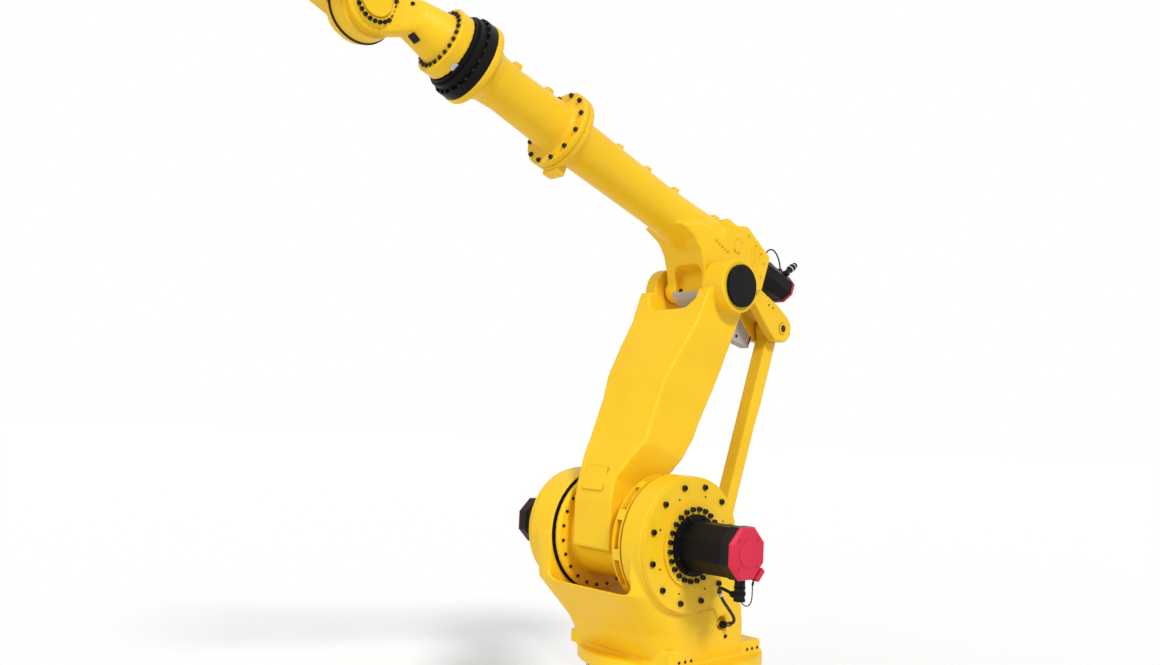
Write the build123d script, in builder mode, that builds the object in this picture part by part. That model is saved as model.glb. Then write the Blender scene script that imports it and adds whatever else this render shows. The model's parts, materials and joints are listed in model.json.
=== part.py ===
from build123d import *
from math import cos, pi, radians, sin, sqrt, tan
import os

os.makedirs("parts", exist_ok=True)

# Frame. The origin lies on the turning axis of the base at floor level.
# X points the way the arm reaches, Y to the arm's left and Z up. Millimetres.
shoulder_x = 300
shoulder_z = 1050
arm_length = 1250
arm_lean = 17.98
forearm_pitch = 19.51
forearm_offset = 253.6
crank_length = 614
lever_droop = 13.7
wrist_s = 2001

# Gaps. Bearings and shafts run in a small gap, other pieces keep further apart.
run_gap = 0.3
pin_clear = 0.1
wrist_gap = 3

# Base.
base_half = 510
foot_thickness = 50
foot_corner = 150
foot_hole = 16.5
foot_hole_reach = 440
foot_hole_spread = 300
column_r = 425
column_top_r = 400
base_top = 400
rib_thickness = 34
well_r = 332
well_floor = 330
panel_width = 280
panel_height = 190
panel_depth = 46

# Bearing between the base and the turntable.
seal_r = 396
seal_top = 434
spigot_r = 345
spigot_wall = 12
spigot_low = 406

# Turntable.
disc_r = 446
disc_low = 440
disc_high = 500
lug_half_x = 360
lug_half_y = 345
lug_far_half_y = 318
lug_rear_x = 270
lug_top = 562
lug_gap_x = 140
lug_gap_y = 83
lug_hole_r = 9
body_rear = (-138, -125, -110, -72, 4)
body_front = (352, 432, 512, 598, 598)
body_half = (340, 356, 360, 360, 360)
body_corner = (150, 160, 150, 110, 60)
body_rear_corner = 25
body_level = (disc_high, 640, 730, 836, 1050)
drum_r = 300
drum_near_in = 247
drum_near_out = 369
drum_far_in = -220
drum_far_out = -375
drum_far_r = 292
far_cover_r = 283
front_wall_top = 836
window_low_y = -208
window_high_y = 300
window_corner = 42
arm_sweep_r = 352
crank_gap = 84
crank_sweep_r = 700
well_x = 10
well_half = 330
channel_floor = 466
cable_hole_r = 31
cable_hole_x = 37
cable_hole_z = 672
cable_hole_in = 318

# Covers and drives.
cover_r = 297
cover_thickness = 23
cover_step_r = 186
cover_step = 9
motor_flats = 212
motor_flange_r = 136
motor_flange = 16
motor_body_end = 640
motor_end = 704

# Lower arm, with lengths along the arm from the shoulder.
arm_low = -120
arm_half_neck = 120
arm_half_box = 185
arm_half_mid = 210
arm_half_top = 226
barrel_r = 205
hub_flange_r = 282
hub_flange_in = 177
hub_flange_out = 207
stub_r = 149
stub_depth = 20
fork_in = 155
fork_floor = arm_length - 162
fork_depth = 800
fork_corner = 50
fork_rear_start = 40
fork_rear_drop = 170
elbow_ear_r = 112
elbow_boss_r = 128
elbow_far_boss_r = 100
elbow_boss_near = 290
elbow_boss_far = 240
elbow_cap_r = 101
elbow_far_cap_r = 90
elbow_cap = 17
elbow_stub_r = 40
elbow_stub_in = 82
elbow_stub_near = 104

# Forearm, with lengths s along its axis and v above the axis.
fore_r = 105
fore_mid_r = 113
fore_rear_r = 130
fore_half = 128
fore_leg_in = 72
fore_leg_r = 62
fore_leg_out = 148
fore_pocket_back = 28
fore_pocket_top = -172
fore_pocket_near = 98
fore_pocket_far = -72
fore_pocket_corner = 34
guard_near = 98
guard_far = -74
guard_out_r = 84
guard_in_r = 66
guard_drop = 44
guard_back = 40
flange_s = 1081
flange_r = 178
flange_joint = 1053
flange_back = 1022
ext_r = 100
cone_s = 1470
ring_s = 1571
ring_r = 171
ring_step_s = 1612
ring_step_r = 157
ring_low_s = 1647
ring_low_r = 146
ring_end_s = 1664
roll_stub_r = 95
rear_face_s = -338
small_flats = 138
far_flats = 122
small_motor_end = -548
small_cap_end = -575

# Link.
rod_half_thick = 36
rod_half_upper = 44
rod_half_wide = 38
rod_kink = arm_length - 530
eye_r = 62
ear_in = 46
ear_out = 99
ear_r = 72
pin_r = 28
crank_in = 192
crank_out = 240
crank_hub_r = 298
crank_web_low = 345
crank_web_high = 430
crank_ear_out = 78
crank_window = 24.5
crank_window_depth = 34

# Wrist.
wrist_flange_r = 140
wrist_face_s = 1725
neck_r = 107
bend_body_in = -170
bend_body_step = -90
bend_body_out = -60
bend_pad_out = -46
bend_body_r = 134
bend_step_r = 116
bend_pad_r = 96
seal_ring_r = 139
bend_head_r = 128
bend_head_in = -178
bend_head_out = -215
bend_back_r = 100
bend_back_out = -262
bend_stub_r = 60
head_arm_half = 46
head_arm_reach = 270
turn_unit_r = 92
turn_unit_s = 190
turn_unit_end = 330
turn_stub_r = 40
tool_r = 120
tool_thickness = 40
tool_bolt_r = 100
tool_hole_r = 7
tool_pilot_r = 50

# Cords, as the points of their routes. The wrist cable's points are (s, v, y).
socket_x = 236
socket_y = 612
socket_low = 838
socket_elbow_r = 14
socket_elbow = 34
motor_cable_d = 15
motor_cable_path = [
    (222, 580, 850),
    (215, 532, 861),
    (202, 484, 867),
    (180, 448, 858),
    (148, 432, 826),
    (114, 428, 786),
    (78, 432, 748),
    (46, 434, 712),
    (28, 418, 684),
    (28, 380, 668),
    (35, 340, 664),
]
cap_wire_d = 5
cap_wire_path = [
    (239.5, 690, 937.9),
    (252, 692, 922),
    (254, 694, 894),
    (250, 691, 864),
    (244, 680, 834),
    (239, 656, 818),
    (236, 632, 822),
    (235, 616, 838),
]
wrist_cable_d = 8
wrist_front_socket = (-385, 87, 44)
wrist_rear_socket = (-524, 87, 50)
wrist_cable_route = [
    (-385, 116, 44),
    (-388, 144, 44),
    (-404, 174, 42),
    (-434, 193, 40),
    (-468, 190, 40),
    (-496, 170, 43),
    (-516, 144, 47),
    (-524, 118, 50),
]

# Directions and points that follow from the rest pose.
arm_n = (cos(radians(arm_lean)), 0, sin(radians(arm_lean)))
arm_a = (-sin(radians(arm_lean)), 0, cos(radians(arm_lean)))
fore_u = (cos(radians(forearm_pitch)), 0, sin(radians(forearm_pitch)))
fore_v = (-sin(radians(forearm_pitch)), 0, cos(radians(forearm_pitch)))
lever_d = (-cos(radians(lever_droop)), 0, -sin(radians(lever_droop)))
elbow_x = shoulder_x + arm_length * arm_a[0]
elbow_z = shoulder_z + arm_length * arm_a[2]
axis_x = elbow_x + forearm_offset * fore_v[0]
axis_z = elbow_z + forearm_offset * fore_v[2]
top_pin_x = elbow_x + crank_length * lever_d[0]
top_pin_z = elbow_z + crank_length * lever_d[2]
low_pin_x = shoulder_x + crank_length * lever_d[0]
low_pin_z = shoulder_z + crank_length * lever_d[2]
wrist_x = axis_x + wrist_s * fore_u[0]
wrist_z = axis_z + wrist_s * fore_u[2]

# Work planes. In the arm plane x is forward of the arm and y is along it.
# In the forearm plane x is along the forearm and y is above it.
arm_plane = Plane(origin=(shoulder_x, 0, shoulder_z), x_dir=arm_n, z_dir=(0, -1, 0))
arm_front_plane = Plane(origin=(shoulder_x, 0, shoulder_z), x_dir=(0, 1, 0), z_dir=arm_n)
fore_plane = Plane(origin=(axis_x, 0, axis_z), x_dir=fore_u, z_dir=(0, -1, 0))
lever_plane = Plane(origin=(elbow_x, 0, elbow_z), x_dir=lever_d, z_dir=(0, -1, 0))
crank_plane = Plane(origin=(shoulder_x, 0, shoulder_z), x_dir=lever_d, z_dir=(0, -1, 0))
rod_plane = Plane(origin=(low_pin_x, 0, low_pin_z), x_dir=arm_n, z_dir=(0, -1, 0))
upright = (Align.CENTER, Align.CENTER, Align.MIN)


def y_disc(x, z, low, high, radius, mode=Mode.ADD):
    """A round bar across the machine, from y = low to y = high."""
    with Locations((x, (low + high) / 2, z)):
        Cylinder(radius, high - low, rotation=(90, 0, 0), mode=mode)


def along(s, v=0.0, y=0.0):
    """A point of the forearm: s along its axis, v above it, y to the left."""
    return (
        axis_x + s * fore_u[0] + v * fore_v[0],
        y,
        axis_z + s * fore_u[2] + v * fore_v[2],
    )


def s_plane(s, v=0.0, y=0.0):
    """A plane square to the forearm axis that faces forward."""
    return Plane(origin=along(s, v, y), x_dir=(0, 1, 0), z_dir=fore_u)


def s_disc(s_low, s_high, radius, v=0.0, y=0.0, mode=Mode.ADD):
    """A round bar along the forearm, from s_low to s_high."""
    with Locations(s_plane(s_low, v, y)):
        Cylinder(radius, s_high - s_low, align=upright, mode=mode)


def octagon(across):
    """Corner points of an octagon that stands on one flat."""
    reach = across / 2 / cos(pi / 8)
    return [(reach * cos(pi / 8 + k * pi / 4), reach * sin(pi / 8 + k * pi / 4)) for k in range(8)]


# Base casting. A square foot carries a round column with ribs and a hollow top.
with BuildPart() as base_casting:
    with BuildSketch():
        Rectangle(2 * base_half, 2 * base_half)
        chamfer(vertices(), foot_corner)
    extrude(amount=foot_thickness)
    with Locations((0, 0, foot_thickness)):
        Cone(column_r, column_top_r, base_top - foot_thickness, align=upright)
    with BuildSketch(Plane.XZ) as rib:
        with BuildLine():
            Polyline(
                (column_top_r - 30, foot_thickness - 5),
                (base_half - 30, foot_thickness - 5),
                (base_half - 45, foot_thickness + 30),
                (column_top_r + 6, base_top - 60),
                (column_top_r - 30, base_top - 60),
                close=True,
            )
        make_face()
    extrude(amount=rib_thickness / 2, both=True, mode=Mode.PRIVATE)
    with PolarLocations(0, 8, start_angle=22.5):
        add(extrude(rib.sketch, amount=rib_thickness / 2, both=True, mode=Mode.PRIVATE))
    with Locations((0, 0, well_floor)):
        Cylinder(well_r, base_top, align=upright, mode=Mode.SUBTRACT)
    with GridLocations(2 * foot_hole_reach, 2 * foot_hole_spread, 2, 2):
        Cylinder(foot_hole, foot_thickness * 4, mode=Mode.SUBTRACT)
    with GridLocations(2 * foot_hole_spread, 2 * foot_hole_reach, 2, 2):
        Cylinder(foot_hole, foot_thickness * 4, mode=Mode.SUBTRACT)

# Connector panel at the rear of the base.
with BuildPart() as connector_panel:
    with Locations((-column_r, 0, 190)):
        Box(2 * panel_depth, panel_width, panel_height)
    with Locations((0, 0, foot_thickness)):
        Cone(column_r, column_top_r, base_top - foot_thickness, align=upright, mode=Mode.SUBTRACT)

# Bearing ring between the base and the turntable.
with BuildPart() as turn_bearing:
    with BuildSketch(Plane.XY.offset(base_top)):
        Circle(seal_r)
        Circle(spigot_r, mode=Mode.SUBTRACT)
    extrude(amount=seal_top - base_top)

# Turntable casting. A disc carries a hollow body that ends in two round housings.
with BuildPart() as turntable_casting:
    for level, rear, front, half, corner in zip(body_level, body_rear, body_front, body_half, body_corner):
        with BuildSketch(Plane.XY.offset(level)):
            with Locations(((rear + front) / 2, 0)):
                Rectangle(front - rear, 2 * half)
            fillet(vertices().group_by(Axis.X)[-1], corner)
            fillet(vertices().group_by(Axis.X)[0], body_rear_corner)
    loft(ruled=True)
    # The gap for the arm and the crank, open at the top and at the rear.
    gap_y = (drum_near_in + drum_far_in) / 2
    gap_w = drum_near_in - drum_far_in
    with Locations((shoulder_x - 650, gap_y, disc_high + 500)):
        Box(1400, gap_w, 1000, mode=Mode.SUBTRACT)
    y_disc(shoulder_x, shoulder_z, drum_far_in, drum_near_in, arm_sweep_r, mode=Mode.SUBTRACT)
    with BuildSketch(Plane.YZ.offset(shoulder_x)):
        with Locations(((window_low_y + window_high_y) / 2, front_wall_top + 300)):
            RectangleRounded(window_high_y - window_low_y, 600, window_corner)
    extrude(amount=600, mode=Mode.SUBTRACT)
    y_disc(shoulder_x, shoulder_z, drum_near_in, drum_near_out, drum_r)
    y_disc(shoulder_x, shoulder_z, drum_far_out, drum_far_in, drum_far_r)
    # Disc with the corner lugs for lifting.
    with Locations((0, 0, disc_low)):
        Cylinder(disc_r, disc_high - disc_low, align=upright)
    for low_x, high_x in ((-lug_rear_x, -lug_gap_x), (lug_gap_x, lug_half_x)):
        for low_y, high_y in ((-lug_far_half_y, -lug_gap_y), (lug_gap_y, lug_half_y)):
            with Locations(((low_x + high_x) / 2, (low_y + high_y) / 2, disc_high - 2)):
                Box(high_x - low_x, high_y - low_y, lug_top - disc_high + 2, align=upright)
    with Locations((well_x, 0, disc_low - 50)):
        Box(2 * well_half, 2 * crank_gap, 400, align=upright, mode=Mode.SUBTRACT)
    # Channel at the rear for the link rod when the arm leans back.
    with Locations((well_x - well_half - disc_r / 2, 0, channel_floor)):
        Box(disc_r + 20, 2 * crank_gap, disc_high, align=upright, mode=Mode.SUBTRACT)
    y_disc(cable_hole_x, cable_hole_z, cable_hole_in, drum_near_out, cable_hole_r, mode=Mode.SUBTRACT)
    # Spigot that turns inside the bearing ring.
    with BuildSketch(Plane.XY.offset(spigot_low)):
        Circle(spigot_r - run_gap)
        Circle(spigot_r - run_gap - spigot_wall, mode=Mode.SUBTRACT)
    extrude(amount=disc_low - spigot_low)
    # Bores for the stub shafts of the lower arm.
    y_disc(shoulder_x, shoulder_z, drum_near_in, drum_near_in + stub_depth, stub_r + run_gap, mode=Mode.SUBTRACT)
    y_disc(shoulder_x, shoulder_z, drum_far_in - stub_depth, drum_far_in, stub_r + run_gap, mode=Mode.SUBTRACT)

# Round covers on the outer faces of the housings.
near_face = drum_near_out + cover_thickness
far_face = -drum_far_out + cover_thickness
with BuildPart() as near_cover:
    y_disc(shoulder_x, shoulder_z, drum_near_out, near_face, cover_r)
    y_disc(shoulder_x, shoulder_z, near_face - 1, near_face + cover_step, cover_step_r)
with BuildPart() as far_cover:
    y_disc(shoulder_x, shoulder_z, -far_face, drum_far_out, far_cover_r)
    y_disc(shoulder_x, shoulder_z, -far_face - cover_step, -far_face + 1, cover_step_r)

# Drive motors on the shoulder axis, each with its flange and its end cap.
with BuildPart() as near_motor:
    y_disc(shoulder_x, shoulder_z, near_face + cover_step, near_face + cover_step + motor_flange, motor_flange_r)
    with BuildSketch(Plane(origin=(shoulder_x, near_face + cover_step, shoulder_z), x_dir=(1, 0, 0), z_dir=(0, 1, 0))):
        Polygon(*octagon(motor_flats), align=None)
    extrude(amount=motor_body_end - near_face - cover_step)
with BuildPart() as near_motor_cap:
    with BuildSketch(Plane(origin=(shoulder_x, motor_body_end, shoulder_z), x_dir=(1, 0, 0), z_dir=(0, 1, 0))):
        Polygon(*octagon(motor_flats + 8), align=None)
    extrude(amount=motor_end - motor_body_end)
    chamfer(faces().sort_by(Axis.Y)[-1].edges(), 10)
with BuildPart() as far_motor:
    y_disc(shoulder_x, shoulder_z, -far_face - cover_step - motor_flange, -far_face - cover_step, motor_flange_r)
    with BuildSketch(Plane(origin=(shoulder_x, -far_face - cover_step, shoulder_z), x_dir=(1, 0, 0), z_dir=(0, -1, 0))):
        Polygon(*octagon(motor_flats), align=None)
    extrude(amount=motor_body_end - far_face - cover_step)
with BuildPart() as far_motor_cap:
    with BuildSketch(Plane(origin=(shoulder_x, -motor_body_end, shoulder_z), x_dir=(1, 0, 0), z_dir=(0, -1, 0))):
        Polygon(*octagon(motor_flats + 8), align=None)
    extrude(amount=motor_end - motor_body_end)
    chamfer(faces().sort_by(Axis.Y)[0].edges(), 10)

# Upright motor that turns the turntable.
turn_motor_x = -260
turn_motor_y = -205
turn_flats = 176
turn_motor_height = 230
turn_cap_height = 55
with BuildPart() as turn_motor:
    with BuildSketch(Plane.XY.offset(lug_top)):
        with Locations((turn_motor_x, turn_motor_y)):
            Polygon(*octagon(turn_flats), align=None)
    extrude(amount=turn_motor_height)
with BuildPart() as turn_motor_cap:
    with BuildSketch(Plane.XY.offset(lug_top + turn_motor_height)):
        with Locations((turn_motor_x, turn_motor_y)):
            Polygon(*octagon(turn_flats + 8), align=None)
    extrude(amount=turn_cap_height)
    chamfer(faces().sort_by(Axis.Z)[-1].edges(), 10)

# Lower arm casting. Its side view is cut to its front view.
arm_front = [
    (223, arm_low),
    (287, 84),
    (300, 165),
    (300, 200),
    (272, 310),
    (240, 390),
    (230, arm_length - 663),
    (227, arm_length - 541),
    (196, arm_length - 413),
    (148, arm_length - 227),
    (132, arm_length - 60),
]
arm_rear = [
    (-132, arm_length - 40),
    (-114, arm_length - 252),
    (-96, arm_length - 491),
    (-66, arm_length - 750),
    (-18, 360),
    (5, 298),
    (5, 100),
    (0, arm_low),
]
with BuildPart() as lower_arm:
    with BuildSketch(arm_plane):
        with BuildLine():
            Polyline(*arm_front, *arm_rear, close=True)
        make_face()
        with Locations((0, arm_length)):
            Circle(elbow_ear_r)
    extrude(amount=arm_half_top, both=True)
    with BuildSketch(arm_front_plane):
        with BuildLine():
            right_edge = Polyline(
                (0, -400),
                (arm_half_neck, -400),
                (arm_half_neck, 190),
                (arm_half_box, 390),
                (arm_half_box, 600),
                (arm_half_mid, arm_length - 390),
                (arm_half_top, arm_length - 130),
                (arm_half_top, arm_length + 250),
                (0, arm_length + 250),
            )
            mirror(right_edge, about=Plane.YZ)
        make_face()
    extrude(amount=600, both=True, mode=Mode.INTERSECT)
    y_disc(shoulder_x, shoulder_z, -hub_flange_in, hub_flange_in, barrel_r)
    y_disc(shoulder_x, shoulder_z, -hub_flange_out, -hub_flange_in, hub_flange_r)
    y_disc(shoulder_x, shoulder_z, drum_far_in - stub_depth + 2, -hub_flange_out, stub_r)
    y_disc(shoulder_x, shoulder_z, hub_flange_in, drum_near_in + stub_depth - 2, stub_r)
    y_disc(elbow_x, elbow_z, fork_in, elbow_boss_near, elbow_boss_r)
    y_disc(elbow_x, elbow_z, -elbow_boss_far, -fork_in, elbow_far_boss_r)
    # Fork between the two ears at the elbow.
    with BuildSketch(arm_front_plane):
        with Locations((0, fork_floor + fork_depth / 2)):
            Rectangle(2 * fork_in, fork_depth)
        chamfer(vertices().sort_by(Axis.Y)[0:2], fork_corner)
    extrude(amount=500, both=True, mode=Mode.SUBTRACT)
    with BuildSketch(arm_plane.offset(-fork_in)):
        with BuildLine():
            Polyline(
                (fork_rear_start, fork_floor + 10),
                (-300, fork_floor + 10),
                (-300, fork_floor - 2 * fork_rear_drop),
                close=True,
            )
        make_face()
    extrude(amount=2 * fork_in, mode=Mode.SUBTRACT)

# Stub shafts in the two ears of the arm, on which the forearm turns.
with BuildPart() as near_elbow_stub:
    y_disc(elbow_x, elbow_z, elbow_stub_near, fork_in, elbow_stub_r)
with BuildPart() as far_elbow_stub:
    y_disc(elbow_x, elbow_z, -fork_in, -elbow_stub_in, elbow_stub_r)

# Black caps over the elbow bearings.
with BuildPart() as near_elbow_cap:
    y_disc(elbow_x, elbow_z, elbow_boss_near, elbow_boss_near + elbow_cap, elbow_cap_r)
with BuildPart() as far_elbow_cap:
    y_disc(elbow_x, elbow_z, -elbow_boss_far - elbow_cap, -elbow_boss_far, elbow_far_cap_r)

# Three motors behind the gear case, as (name, y, v, across flats).
small_motors = [
    ("wrist_roll", 60, 18, small_flats),
    ("wrist_bend", -76, 120, far_flats),
    ("flange_turn", -76, -8, far_flats),
]

# Forearm casting: a tube that ends in two legs at the elbow and in a gear case with two ears behind it.
# Cable pads on top of the tube, as (s, height above the axis, length, half width).
fore_pads = [
    (728, 126, 34, 26),
    (529, 126, 34, 26),
    (324, 131, 34, 26),
    (20, 143, 40, 34),
    (-84, 170, 62, 40),
]
tube_pads = [
    (1370, 126, 36, 28),
    (1185, 126, 36, 28),
]
fore_base = [
    (330, -70),
    (205, 0),
    (-190, 0),
    (-190, -160),
    (-130, -285),
    (-60, -305),
    (28, -305),
    (66, -247),
    (104, -185),
    (150, -125),
    (218, -90),
]
gear_case = [
    (60, 90),
    (-57, 120),
    (-116, 148),
    (-262, 107),
    (rear_face_s + 6, 86),
    (rear_face_s, 60),
    (rear_face_s, -100),
    (-300, -125),
    (-60, -125),
]
lever_outline = [
    (180, -150),
    (328, -145),
    (crank_length - 67, -103),
    (crank_length + 20, -ear_r),
    (crank_length, ear_r),
    (crank_length - 45, 80),
    (crank_length - 126, 36),
    (crank_length - 259, -46),
    (180, -60),
]
box_outline = [
    (crank_length - 219, 36 - 93 * 82 / 133),
    (crank_length - 126, 36),
    (crank_length - 69, 36 + 57 * 44 / 81),
    (crank_length - 69, 126),
    (crank_length - 219, 126),
]
with BuildPart() as forearm_casting:
    with BuildSketch(fore_plane):
        with BuildLine():
            Polyline(*fore_base, close=True)
        make_face()
        with Locations((0, -forearm_offset)):
            Circle(fore_leg_r)
    extrude(amount=fore_half, both=True)
    y_disc(elbow_x, elbow_z, -fore_leg_out, fore_leg_out, fore_leg_r - 4)
    with BuildSketch(fore_plane):
        with BuildLine():
            Polyline(*gear_case, close=True)
        make_face()
    extrude(amount=fore_half, both=True)
    with BuildSketch(fore_plane):
        with BuildLine():
            Polyline(
                (-60, 0),
                (-60, fore_rear_r),
                (200, fore_mid_r),
                (400, fore_r),
                (flange_back - 60, fore_r + 4),
                (flange_back, fore_r + 24),
                (flange_back, flange_r),
                (flange_joint, flange_r),
                (flange_joint, 0),
                close=True,
            )
        make_face()
    revolve(axis=Axis(origin=along(0), direction=fore_u))
    with Locations(fore_plane):
        with Locations((rear_face_s + 45, 120, -small_motors[1][1])):
            Box(90, far_flats, far_flats - 10)
    # Pocket between the two legs.
    with BuildSketch(s_plane(fore_pocket_back)):
        with Locations(((fore_pocket_near + fore_pocket_far) / 2, fore_pocket_top - 150)):
            RectangleRounded(fore_pocket_near - fore_pocket_far, 300, fore_pocket_corner)
    extrude(amount=300, mode=Mode.SUBTRACT)
    # Pads for cable clamps on top, and one under the flange.
    for s, top, long, half in fore_pads:
        with Locations(fore_plane):
            with Locations((s, top - 40, 0)):
                Box(long, 80, 2 * half)
    with Locations(fore_plane):
        with Locations((flange_back - 5, -flange_r + 4, 0)):
            Box(50, 44, 90)
    # Lever with its two ears.
    with BuildSketch(lever_plane):
        with BuildLine():
            Polyline(*lever_outline, close=True)
        make_face()
        with Locations((crank_length, 0)):
            Circle(ear_r)
    extrude(amount=ear_out, both=True)
    with Locations(lever_plane):
        with Locations((crank_length, 0, 0)):
            Box(520, 400, 2 * ear_in, mode=Mode.SUBTRACT)
    y_disc(top_pin_x, top_pin_z, -ear_out - 1, ear_out + 1, pin_r, mode=Mode.SUBTRACT)
    y_disc(elbow_x, elbow_z, elbow_stub_near - 2, fork_in, elbow_stub_r + run_gap, mode=Mode.SUBTRACT)
    y_disc(elbow_x, elbow_z, -fork_in, -elbow_stub_in + 2, elbow_stub_r + run_gap, mode=Mode.SUBTRACT)

# Extension tube with its rear flange and its front cone.
with BuildPart() as extension_tube:
    with BuildSketch(fore_plane):
        with BuildLine():
            Polyline(
                (flange_joint, 0),
                (flange_joint, flange_r),
                (flange_s, flange_r),
                (flange_s, ext_r + 22),
                (flange_s + 22, ext_r + 12),
                (flange_s + 90, ext_r + 6),
                (cone_s - 90, ext_r),
                (cone_s, ext_r + 8),
                (cone_s + 32, ext_r + 22),
                (cone_s + 53, ext_r + 42),
                (cone_s + 66, ring_r - 6),
                (cone_s + 72, ring_r + 3),
                (ring_s, ring_r + 4),
                (ring_s, 0),
                close=True,
            )
        make_face()
    revolve(axis=Axis(origin=along(0), direction=fore_u))
    for s, top, long, half in tube_pads:
        with Locations(fore_plane):
            with Locations((s, top - 40, 0)):
                Box(long, 80, 2 * half)

# Reducer of the wrist roll.
with BuildPart() as roll_reducer:
    s_disc(ring_s, ring_step_s, ring_r)
    s_disc(ring_step_s, ring_low_s, ring_step_r)
    s_disc(ring_low_s, ring_end_s, ring_low_r)
    s_disc(ring_end_s, ring_end_s + 20, roll_stub_r)

def small_motor(y, v, near, far, across):
    """An octagonal block behind the gear case, from s = near back to s = far."""
    with BuildPart() as block:
        with BuildSketch(s_plane(far, v, y)):
            Polygon(*octagon(across), align=None)
        extrude(amount=near - far)
    return block


wrist_motors = {name: small_motor(y, v, rear_face_s, small_motor_end, across) for name, y, v, across in small_motors}
wrist_caps = {name: small_motor(y, v, small_motor_end, small_cap_end, across + 4) for name, y, v, across in small_motors}

# Grey cover between the legs of the forearm, and the grey box behind the elbow.
with BuildPart() as elbow_cover:
    y_disc(elbow_x, elbow_z, guard_far, guard_near, guard_out_r)
    y_disc(elbow_x, elbow_z, guard_far, guard_near, guard_in_r, mode=Mode.SUBTRACT)
    with Locations(fore_plane):
        with Locations((0, -forearm_offset - guard_drop + 2 * guard_out_r, 0)):
            Box(4 * guard_out_r, 4 * guard_out_r, 4 * guard_out_r, mode=Mode.SUBTRACT)
        with Locations((-guard_back - 2 * guard_out_r, -forearm_offset, 0)):
            Box(4 * guard_out_r, 4 * guard_out_r, 4 * guard_out_r, mode=Mode.SUBTRACT)
with BuildPart() as junction_box:
    with BuildSketch(lever_plane.offset(ear_in + 4)):
        with BuildLine():
            Polyline(*box_outline, close=True)
        make_face()
    extrude(amount=ear_out - ear_in)

# Link rod, wider above the kink in its rear edge.
with BuildPart() as link_rod:
    with BuildSketch(rod_plane):
        with BuildLine():
            Polyline(
                (rod_half_thick, 0),
                (rod_half_thick, arm_length),
                (-rod_half_upper, arm_length - 20),
                (-rod_half_upper, rod_kink + 120),
                (-rod_half_thick, rod_kink),
                (-rod_half_thick, 0),
                close=True,
            )
        make_face()
        with Locations((0, 0), (0, arm_length)):
            Circle(eye_r)
    extrude(amount=rod_half_wide, both=True)
    y_disc(top_pin_x, top_pin_z, -ear_in, ear_in, pin_r + pin_clear, mode=Mode.SUBTRACT)
    y_disc(low_pin_x, low_pin_z, -ear_in, ear_in, pin_r + pin_clear, mode=Mode.SUBTRACT)

# Pins of the link.
with BuildPart() as top_pin:
    y_disc(top_pin_x, top_pin_z, -ear_out, ear_out, pin_r)
with BuildPart() as low_pin:
    y_disc(low_pin_x, low_pin_z, -crank_ear_out, crank_ear_out, pin_r)

# Crank of the link: a ring with windows, a web across and two ears.
with BuildPart() as crank:
    with BuildSketch(crank_plane.offset(-crank_out)):
        Circle(crank_hub_r)
        with BuildLine():
            Polyline((150, 150), (crank_web_high, 76), (crank_web_high, -76), (150, -150), close=True)
        make_face()
    extrude(amount=crank_out - crank_in)
    with Locations(crank_plane):
        with Locations(((crank_web_low + crank_web_high) / 2, -6, -(crank_out - crank_ear_out) / 2)):
            Box(crank_web_high - crank_web_low, 104, crank_out + crank_ear_out)
    with BuildSketch(crank_plane):
        with BuildLine():
            Polyline((380, 46), (crank_length, 60), (crank_length, -60), (380, -60), close=True)
        make_face()
        with Locations((crank_length, 0)):
            Circle(64)
    extrude(amount=crank_ear_out, both=True)
    with Locations(crank_plane):
        with Locations((crank_web_high + 200, 0, 0)):
            Box(400, 700, 2 * ear_in, mode=Mode.SUBTRACT)
    y_disc(shoulder_x, shoulder_z, 100, 300, stub_r + run_gap, mode=Mode.SUBTRACT)
    y_disc(low_pin_x, low_pin_z, -120, 120, pin_r, mode=Mode.SUBTRACT)
    window_long = 2 * crank_hub_r * sin(radians(crank_window / 2))
    with Locations(Plane(origin=(shoulder_x, (crank_in + crank_out) / 2, shoulder_z), x_dir=(1, 0, 0), z_dir=(0, -1, 0))):
        with PolarLocations(crank_hub_r, 6, start_angle=21.75 - 82, angular_range=205):
            Box(2 * crank_window_depth, window_long, crank_out - crank_in - 16, mode=Mode.SUBTRACT)

# Wrist body. The neck runs from the roll flange to the round housing of the bend axis.
with BuildPart() as wrist_body:
    s_disc(ring_end_s + wrist_gap, wrist_face_s, wrist_flange_r)
    with BuildSketch(s_plane(wrist_face_s - 1)):
        Circle(neck_r)
    with BuildSketch(s_plane(wrist_s - 150, 14, -25)):
        RectangleRounded(170, 152, 70)
    with BuildSketch(s_plane(wrist_s - 60, 0, (bend_body_in + bend_body_out) / 2)):
        RectangleRounded(bend_body_out - bend_body_in, 200, 30)
    loft(ruled=True)
    y_disc(wrist_x, wrist_z, bend_body_in, bend_body_step, bend_body_r)
    y_disc(wrist_x, wrist_z, bend_body_step - 1, bend_body_out, bend_step_r)
    y_disc(wrist_x, wrist_z, bend_body_out - 1, bend_pad_out, bend_pad_r)
    s_disc(ring_end_s, ring_end_s + 22, roll_stub_r + run_gap, mode=Mode.SUBTRACT)
    y_disc(wrist_x, wrist_z, bend_body_in - 1, bend_body_in + 30, bend_stub_r + run_gap, mode=Mode.SUBTRACT)

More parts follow.
